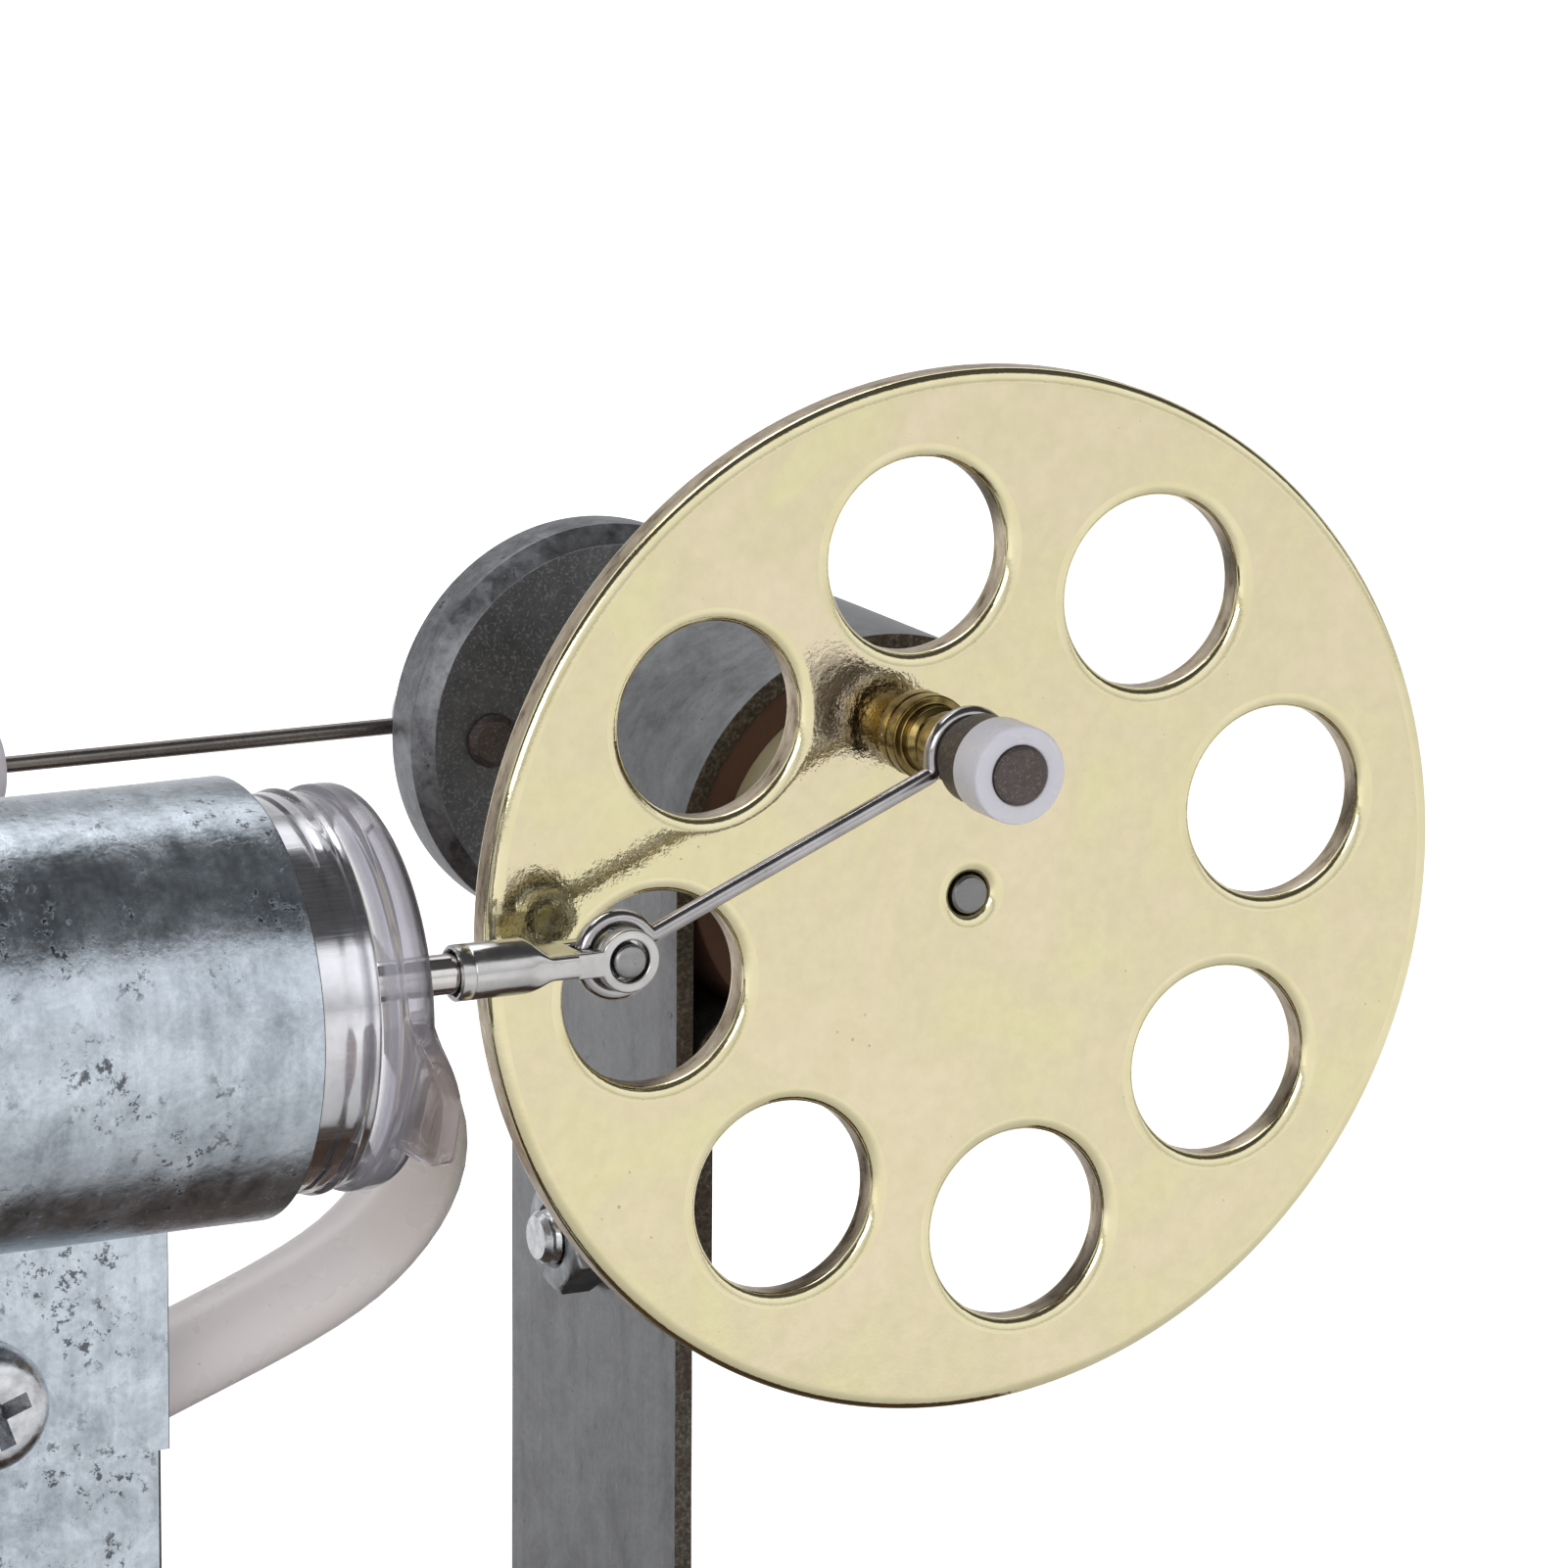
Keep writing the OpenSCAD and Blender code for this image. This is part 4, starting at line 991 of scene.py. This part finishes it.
def cut_sleeve(node, axis, bore):
    """A short piece cut from silicone tube; the ends aren't quite square."""
    start, end = span(node, axis)

    def slanted(angle, radius, distance, index):
        slant = 0.03 * math.cos(angle + 1.1) * radius
        return radius, distance - math.copysign(max(0, slant), distance - (start + end) / 2)

    profile = tube_profile(radius_of(node, axis), bore, start, end)
    turned(node, axis, profile, SLEEVE, 0.16, True, warp=slanted)


# Power side

FLANGE_R = 9.9    # the round part of the power cylinder's flange
NOZZLE_L = 7.0    # how far the power cylinder's nozzle stands out


def lobed(angle):
    """How far the finger flange reaches at an angle: a circle with two rounded lobes."""
    reach, tilt, half_width = 14.1, math.radians(17), math.radians(22)
    turn = abs((angle - tilt + math.pi / 2) % math.pi - math.pi / 2)
    share = min(1, max(0, 1.3 * (1 - turn / half_width)))
    return FLANGE_R + (reach - FLANGE_R) * share * share * (3 - 2 * share)


def power_cylinder():
    """A glass barrel with a nozzle, a ridge by the rim, and a flange with two fingers."""
    x0, x1 = span("power_cylinder", "X")
    barrel_r, bore_r, air_r, nozzle_r, floor = 9.7, 8.4, 0.7, 1.5, 2.0
    end_x, flange_x = x0 + NOZZLE_L, x1 - 1.9
    outline = [
        (air_r, x0), (nozzle_r, x0), (nozzle_r, end_x - 1.2), (3.2, end_x), (barrel_r, end_x),
        (barrel_r, flange_x - 1.9), (barrel_r + 0.2, flange_x - 1.4), (barrel_r, flange_x - 0.9),
        (barrel_r - 0.15, flange_x + 0.1), (FLANGE_R, flange_x + 0.3), (FLANGE_R, x1), (bore_r, x1),
        (bore_r, end_x + floor), (air_r, end_x + floor)]
    rounding = [0.2, 0.3, 0.8, 0.8, 1.6, 0.5, 0.4, 0.4, 0.35, 0.5, 0.75, 0.35, 1.2, 0.4]

    def finger_flange(angle, r, x, index):
        share = max(0, (r - barrel_r) / (FLANGE_R - barrel_r)) if x > flange_x else 0
        return r + share * (lobed(angle) - FLANGE_R), x

    centre = Vector((0, POWER_AXIS.y, POWER_AXIS.z))
    glass = lathe(fillet(outline, rounding, True, 6), "X", centre, True, 224, finger_flange)
    replace("power_cylinder", glass, [GLASS], 60)


def power_piston():
    """A ground piston with a dished end and a boss in the middle."""
    x0, x1 = span("power_piston", "X")
    r, boss_r, dish_r, dish = radius_of("power_piston", "X"), 2.4, 6.6, 0.7
    profile = [(0, x0), (r, x0), (r, x1), (dish_r, x1), (dish_r - 0.5, x1 - dish), (boss_r + 0.4, x1 - dish),
               (boss_r, x1 - 0.1), (0, x1 - 0.1)]
    turned("power_piston", "X", profile, PISTON_STEEL, 0.22, sides=160)


def piston_rod():
    profile = rod_profile(radius_of("piston_rod", "X"), *span("piston_rod", "X"))
    turned("piston_rod", "X", profile, ROD_STEEL, 0.1, sides=48)


def squared_circle(x, half_y, half_z, power):
    """A ring across X: a circle at power 2, and nearer to a rectangle at a higher power."""
    sides = 64
    ring = []
    for k in range(sides):
        c, s = math.cos(2 * math.pi * k / sides), math.sin(2 * math.pi * k / sides)
        ring.append(Vector((x, half_y * math.copysign(abs(c) ** (2 / power), c),
                            half_z * math.copysign(abs(s) ** (2 / power), s))))
    return ring


def clevis():
    """A sleeve that is pressed flat into a neck, and two ears whose rings hold the rivet."""
    x0, pin_x = low("clevis").x, CLEVIS_PIN.x
    sleeve_r, sleeve_l, mouth_r, fork_w, neck_h = 1.4, 4.4, 1.13, 1.6, 0.65
    ear_t, ear_r, hole_r = 0.85, 1.6, 1.06
    bridge_x, press_x, press_l, press_rows = pin_x - 2.5, x0 + sleeve_l - 0.75, 1.2, 8
    centre = Vector((0, POWER_AXIS.y, POWER_AXIS.z))
    sleeve = [(0.7, 1.02), (0.6, mouth_r), (0.1, mouth_r), (0, mouth_r + 0.08), (0, sleeve_r - 0.08),
              (0.08, sleeve_r), (0.7, sleeve_r), (0.76, sleeve_r - 0.05), (0.84, sleeve_r), (2.4, sleeve_r)]
    rings = [squared_circle(x0 + x, r, r, 2) for x, r in sleeve]
    for k in range(press_rows + 1):
        t = k / press_rows
        ease = t * t * (3 - 2 * t)
        rings.append(squared_circle(press_x + press_l * t, sleeve_r + (fork_w - sleeve_r) * ease,
                                    sleeve_r + (neck_h - sleeve_r) * ease, 2 + 4 * ease))
    rings.append(squared_circle(bridge_x, fork_w, neck_h, 6))
    parts = [moved(loft(rings), centre)]
    flank = math.degrees(math.asin(neck_h / ear_r))
    root = bridge_x - pin_x - 0.3
    outline = [(root, neck_h), (root, -neck_h)] + arc((0, 0), ear_r, flank - 180, 180 - flank, 6)
    for side in (-1, 1):
        points, faces = plate([outline, circle_loop((0, 0), hole_r, 48, True)], ear_t, 0.13, 4)[:2]
        y = side * (fork_w - ear_t / 2) - ear_t / 2
        parts.append(moved(([p.xzy for p in points], faces), centre + Vector((pin_x, y, 0))))
    replace("clevis", join_parts(*parts), [NICKEL], 40)


def clevis_pin():
    """A rivet with a low dome at each end."""
    y0, y1 = span("clevis_pin", "Y")
    r, dome_h = radius_of("clevis_pin", "Y"), 0.28
    half = [(r * math.cos(a), dome_h * (1 - math.sin(a))) for a in quarter_turn(6)[::-1]]
    profile = [(radius, y0 + h) for radius, h in half] + [(radius, y1 - h) for radius, h in half[::-1]]
    replace("clevis_pin", lathe(profile, "Y", centre_line("clevis_pin", "Y"), sides=48), [RIVET_STEEL])


EYE_KINK = 20      # how far round each eye the wire lands, in degrees
EYE_SWEEP = 282    # how much of the eye's circle the wire follows


def crank_eye(centre_u, eye_r):
    """The knee and the eye at the far end of a rod that comes along +U."""
    knee = (centre_u - eye_r / math.cos(math.radians(EYE_KINK)), 0)
    return [knee] + arc((centre_u, 0), eye_r, 180 - EYE_KINK, 180 - EYE_KINK - EYE_SWEEP, 8)


def bent_wire(outline, knees, base, along, across):
    """A round wire along a 2D outline. knees are the corners that are bent."""
    bend_r = 0.6
    radii = [bend_r if i in knees else 0 for i in range(len(outline))]
    path = [base + a * along + b * across for a, b in fillet(outline, radii, steps=6)]
    return sweep(path, circle_loop((0, 0), WIRE_R, 20), (0, 1, 0))


def power_con_rod():
    """One wire, with a loose eye on the clevis pin and an eye that hooks over the crank screw."""
    rise = POWER_EYE - CLEVIS_PIN
    length, angle = math.hypot(rise.x, rise.z), math.atan2(rise.z, rise.x)
    small_r, eye_r, rows = 1.85, 2.0, 12
    small = [(-u, v) for u, v in crank_eye(0, small_r)][::-1]
    big = crank_eye(length, eye_r)
    start, end = small[-1][0], big[0][0]
    run = [(start + (end - start) * k / rows, 0) for k in range(1, rows)]
    along = Vector((math.cos(angle), 0, math.sin(angle)))
    across = Vector((-math.sin(angle), 0, math.cos(angle)))
    base = Vector((CLEVIS_PIN.x, POWER_ROD_Y, CLEVIS_PIN.z))
    knees = (len(small) - 1, len(small) + len(run))
    replace("power_con_rod", bent_wire(small + run + big, knees, base, along, across), [WIRE_STEEL], 60)


def displacer_con_rod():
    """A long wire with an eye on the crank and a small cross roller in the joint sleeve."""
    roller_r, roller_half, eye_r = 1.1, 0.75, 2.0
    joint_x = low("displacer_con_rod").x + roller_r
    base = Vector((joint_x, DISPLACER_ROD_Y, DISPLACER_EYE.z))
    outline = [(0, 0)] + crank_eye(DISPLACER_EYE.x - joint_x, eye_r)
    wire = bent_wire(outline, (1,), base, Vector((1, 0, 0)), Vector((0, 0, -1)))
    profile = rod_profile(roller_r, DISPLACER_ROD_Y - roller_half, DISPLACER_ROD_Y + roller_half)
    roller = lathe(fillet(profile, 0.2), "Y", (joint_x, 0, DISPLACER_EYE.z), sides=48)
    replace("displacer_con_rod", join_parts(wire, roller), [DARK_WIRE], 60)


# Displacer side

def dome(centre_x, r):
    """Points of a round end that closes towards -X."""
    return [(r * math.sin(a), centre_x - r * math.cos(a)) for a in quarter_turn(24)]


def displacer_tube():
    x0, x1 = span("displacer_tube", "X")
    r, wall = radius_of("displacer_tube", "X"), 1.2
    in_r = r - wall
    rim = fillet([(r, x1 - 2), (r, x1), (in_r, x1), (in_r, x1 - 2)], [0, 0.5, 0.5, 0], steps=5)
    profile = dome(x0 + r, r) + rim + dome(x0 + r, in_r)[::-1]
    tube = lathe(profile, "X", centre_line("displacer_tube", "X"), sides=160)
    replace("displacer_tube", tube, [TUBE_GLASS], 60)


def stopper():
    x0, x1 = span("stopper", "X")
    r = radius_of("stopper", "X")
    plug_r, head_x = r - 1.25, x1 - 3.95
    profile = [(0, x0), (plug_r - 0.4, x0), (plug_r, x0 + 1.0), (plug_r, head_x), (r, head_x), (r, x1),
               (0, x1)]
    turned("stopper", "X", profile, STOPPER_RUBBER, [0, 0.3, 0.5, 0.05, 0.4, 0.7, 0])


def rod_guide():
    x0, x1 = span("rod_guide", "X")
    r, bore, face_x = radius_of("rod_guide", "X"), WIRE_R + 0.03, high("stopper").x
    profile = [(bore, x0), (r - 0.3, x0), (r - 0.3, face_x), (r, face_x + 0.02), (r, face_x + 1.1),
               (r - 0.45, face_x + 1.2), (r - 0.45, x1), (bore + 0.35, x1), (bore, x1 - 0.35)]
    turned("rod_guide", "X", profile, BRASS, 0.1, True, 64)


def hose_nipple():
    """A brass tube with three barbs."""
    x0, x1 = span("hose_nipple", "X")
    r, bore, barb_l, barb_h = radius_of("hose_nipple", "X"), 1.0, 1.3, 0.22
    profile = [(bore, x0), (r, x0), (r, x1 - 3 * barb_l)]
    for k in (3, 2, 1):
        profile += [(r, x1 - k * barb_l + 0.1), (r - barb_h, x1 - (k - 1) * barb_l)]
    turned("hose_nipple", "X", profile + [(bore, x1)], BRASS, 0.03, True, 48)


def displacer_can():
    """A drawn can with two rolled beads, and its pressed end cap."""
    x0, x1 = span("displacer_can", "X")
    r, wall, bead_h, bead_half = radius_of("displacer_can", "X"), 0.4, 0.22, 0.9
    side = [(r, x0 + r + 1)]
    for bead_x in (x0 + r + 12, x1 - 8):
        side += [(r, bead_x - bead_half), (r - bead_h, bead_x), (r, bead_x + bead_half)]
    side += [(r, x1), (r - wall, x1), (r - wall, x1 - 2)]
    profile = dome(x0 + r, r) + fillet(side, 0.15) + dome(x0 + r, r - wall)[::-1]
    can = lathe(profile, "X", centre_line("displacer_can", "X"), sides=128)
    replace("displacer_can", can, [ALUMINIUM], 50)
    cap_r, cap_x0, bore = radius_of("displacer_cap", "X"), low("displacer_cap").x, WIRE_R + 0.02
    profile = [(bore, cap_x0), (cap_r, cap_x0), (cap_r, x1), (cap_r - 0.9, x1), (cap_r - 1.4, x1 - 0.8),
               (2.2, x1 - 0.8), (1.9, x1), (bore, x1)]
    turned("displacer_cap", "X", profile, ALUMINIUM, 0.2, True)


def displacer_rod():
    """The displacer's rod, and the ferrule that it carries in the joint sleeve."""
    turned("displacer_rod", "X", rod_profile(WIRE_R, *span("displacer_rod", "X")), WIRE_STEEL, 0.08, sides=32)
    ferrule = tube_profile(radius_of("joint_ferrule", "X"), WIRE_R + 0.02, *span("joint_ferrule", "X"))
    turned("joint_ferrule", "X", ferrule, BRASS, 0.1, True, 48)


def transfer_hose():
    """The hose leaves the cylinder's nozzle, passes under the cylinder and comes back to the nipple."""
    start, nipple = low("power_cylinder").x + NOZZLE_L, middle("hose_nipple")
    power_y, power_z = POWER_AXIS.y, POWER_AXIS.z
    way = [(start - 2.2, power_y, power_z), (start - 7, power_y, power_z), (start - 12, power_y, power_z),
           (start - 20, -3, -5), (start - 21, 1.5, -17), (-86, 6.5, -26.5), (-72, 10.5, -29.6),
           (-56, 12.5, -28.4), (-40, 11.3, -22.8), (-28.4, 12, -18), (-23.5, 16.4, -12.8), (-26.4, 27, -8.8),
           (-33.5, 36, -5.5), (-39, nipple.y - 0.6, nipple.z - 0.2), (-43.5, nipple.y, nipple.z),
           (-47.5, nipple.y, nipple.z)]
    path = spline(way, 9)
    outer_r, bore_r, lip, sides = 2.5, 1.6, 0.15, 40
    outer, walls = sweep(path, circle_loop((0, 0), outer_r, sides), UP)
    inner = sweep(path, circle_loop((0, 0), bore_r, sides), UP)[0]
    outer_rings = rings_of(len(path), sides)
    inner_rings = rings_of(len(path), sides, len(outer))
    for ring, centre in ((outer_rings[0], path[0]), (outer_rings[-1], path[-1])):
        for i in ring:
            outer[i] -= lip * (outer[i] - centre).normalized()
    faces = walls[:-2] + [[i + len(outer) for i in face[::-1]] for face in walls[:-2]]
    faces += between(inner_rings[0], outer_rings[0]) + between(inner_rings[-1], outer_rings[-1])
    replace("transfer_hose", (outer + inner, faces), [HOSE], 50)


base_board()
foot_screws()
clamp_screw("bearing_post", "X", 1)
clamp_screw("power_post", "Y", -1)
clamp_screw("displacer_post", "Y", -1)
strip_posts()
bearing()
flywheel()
wheel_hub()
spacer("front_spacer")
spacer("rear_spacer")
crankshaft()
crank_stud()
crank_disc()
displacer_stud()
crank_screw("power_crank_screw")
crank_screw("displacer_crank_screw")
pin_collar()
cut_sleeve("power_pin_sleeve", "Y", 1.52)
cut_sleeve("displacer_pin_sleeve", "Y", 1.52)
cut_sleeve("joint_sleeve", "X", 1.5)
power_cylinder()
power_piston()
piston_rod()
clevis()
clevis_pin()
power_con_rod()
displacer_con_rod()
displacer_tube()
stopper()
rod_guide()
hose_nipple()
displacer_can()
displacer_rod()
transfer_hose()


# ---------------------------------------------------------------- floor, light and camera

def pale_floor():
    """A pale sweep that glows though it is no lamp: painted light from below, dimmer near the object as a
    painted shade around it, and bright enough to read as plain white behind the object.
    """
    s = Shader("floor", Roughness=0.6, Emission_Color=(1.0, 1.0, 1.0))
    s.set(Base_Color=s.ramp(s.noise(60, 3), (0.3, 0.80), (0.7, 0.83)))
    seen = s.add("ShaderNodeLightPath").outputs["Is Camera Ray"]
    away = s.add("ShaderNodeVectorMath", {0: s.place}, operation="LENGTH").outputs["Value"]
    # Painted light and painted shade: the floor glows for every ray, weakly near the object and more strongly
    # further out, so the floor by the object and its reflections look shaded.
    painted_glow_dim_near_object = s.rise(away, 0.10, 0.26, 0.12, 0.46, "SMOOTHSTEP")
    s.set(Emission_Strength=s.maths("ADD", painted_glow_dim_near_object, s.times(seen, 0.42)))
    half, z = 6.0, cad_lo.z - 0.0002
    mesh = bpy.data.meshes.new("floor")
    corners = [(-half, -half, z), (half, -half, z), (half, half, z), (-half, half, z)]
    mesh.from_pydata(corners, [], [[0, 1, 2, 3]])
    mesh.materials.append(s.material)
    add_object("floor", mesh)


def soft_light(name, place, width, height, watts):
    """A rectangular lamp that faces the wheel."""
    data = bpy.data.lights.new(name, "AREA")
    data.shape = "RECTANGLE"
    data.size = width
    data.size_y = height
    data.energy = watts
    light = add_object(name, data)
    light.location = place
    light.rotation_euler = (ORIGIN - Vector(place)).to_track_quat("-Z", "Y").to_euler()


def studio():
    """A bright front wall up to 42 degrees, a dark ceiling, a strip light behind and a pale back wall.
    The camera itself sees plain white in place of these walls."""
    soft_light("top_light", (-0.1, 0.25, 1.0), 0.9, 0.3, 2.5)
    soft_light("front_light", (-0.75, -0.85, 0.45), 0.7, 0.55, 2.5)
    world = bpy.data.worlds.new("studio")
    world.use_nodes = True
    bpy.context.scene.world = world
    nodes = Nodes(world.node_tree)
    direction = nodes.add("ShaderNodeTexCoord").outputs["Generated"]
    parts = nodes.add("ShaderNodeSeparateXYZ", {0: direction}).outputs
    pitch = nodes.maths("ARCTAN2", parts["Z"], nodes.times(parts["Y"], -1))
    greys = [(0, 0.50), (16, 0.78), (38, 0.86), (46, 0.07), (112, 0.05), (118, 0.95), (134, 0.95),
             (142, 0.30), (180, 0.55)]    # pitch in degrees from the front horizon, brightness
    stops = [(degrees / 180, (grey, grey * 1.01, grey * 1.03)) for degrees, grey in greys]
    walls = nodes.ramp(nodes.maths("DIVIDE", pitch, math.pi), *stops)
    seen = nodes.add("ShaderNodeLightPath").outputs["Is Camera Ray"]
    background = world.node_tree.nodes["Background"]
    nodes.put(background.inputs["Color"], nodes.mix(seen, walls, (1, 1, 1)))
    background.inputs["Strength"].default_value = 1.25


def camera():
    """Looks from the front left, a little above, with a slight roll."""
    azimuth, elevation, roll = 0.4695294, 0.2237978, 0.0066525
    forward = Vector((math.sin(azimuth) * math.cos(elevation), math.cos(azimuth) * math.cos(elevation),
                      -math.sin(elevation)))
    level_right = Vector((math.cos(azimuth), -math.sin(azimuth), 0))
    level_up = level_right.cross(forward)
    right = math.cos(roll) * level_right + math.sin(roll) * level_up
    up = math.cos(roll) * level_up - math.sin(roll) * level_right
    data = bpy.data.cameras.new("camera")
    data.lens = 199.93
    data.sensor_width = 36
    data.clip_start = 0.01
    data.clip_end = 50
    view = add_object("camera", data)
    place = Vector((-202.5, -378.1, 103.3)) * MM + ORIGIN
    view.matrix_world = Matrix.Translation(place) @ Matrix((right, up, -forward)).transposed().to_4x4()
    bpy.context.scene.camera = view


pale_floor()
studio()
camera()
bpy.context.scene.view_settings.view_transform = "Standard"
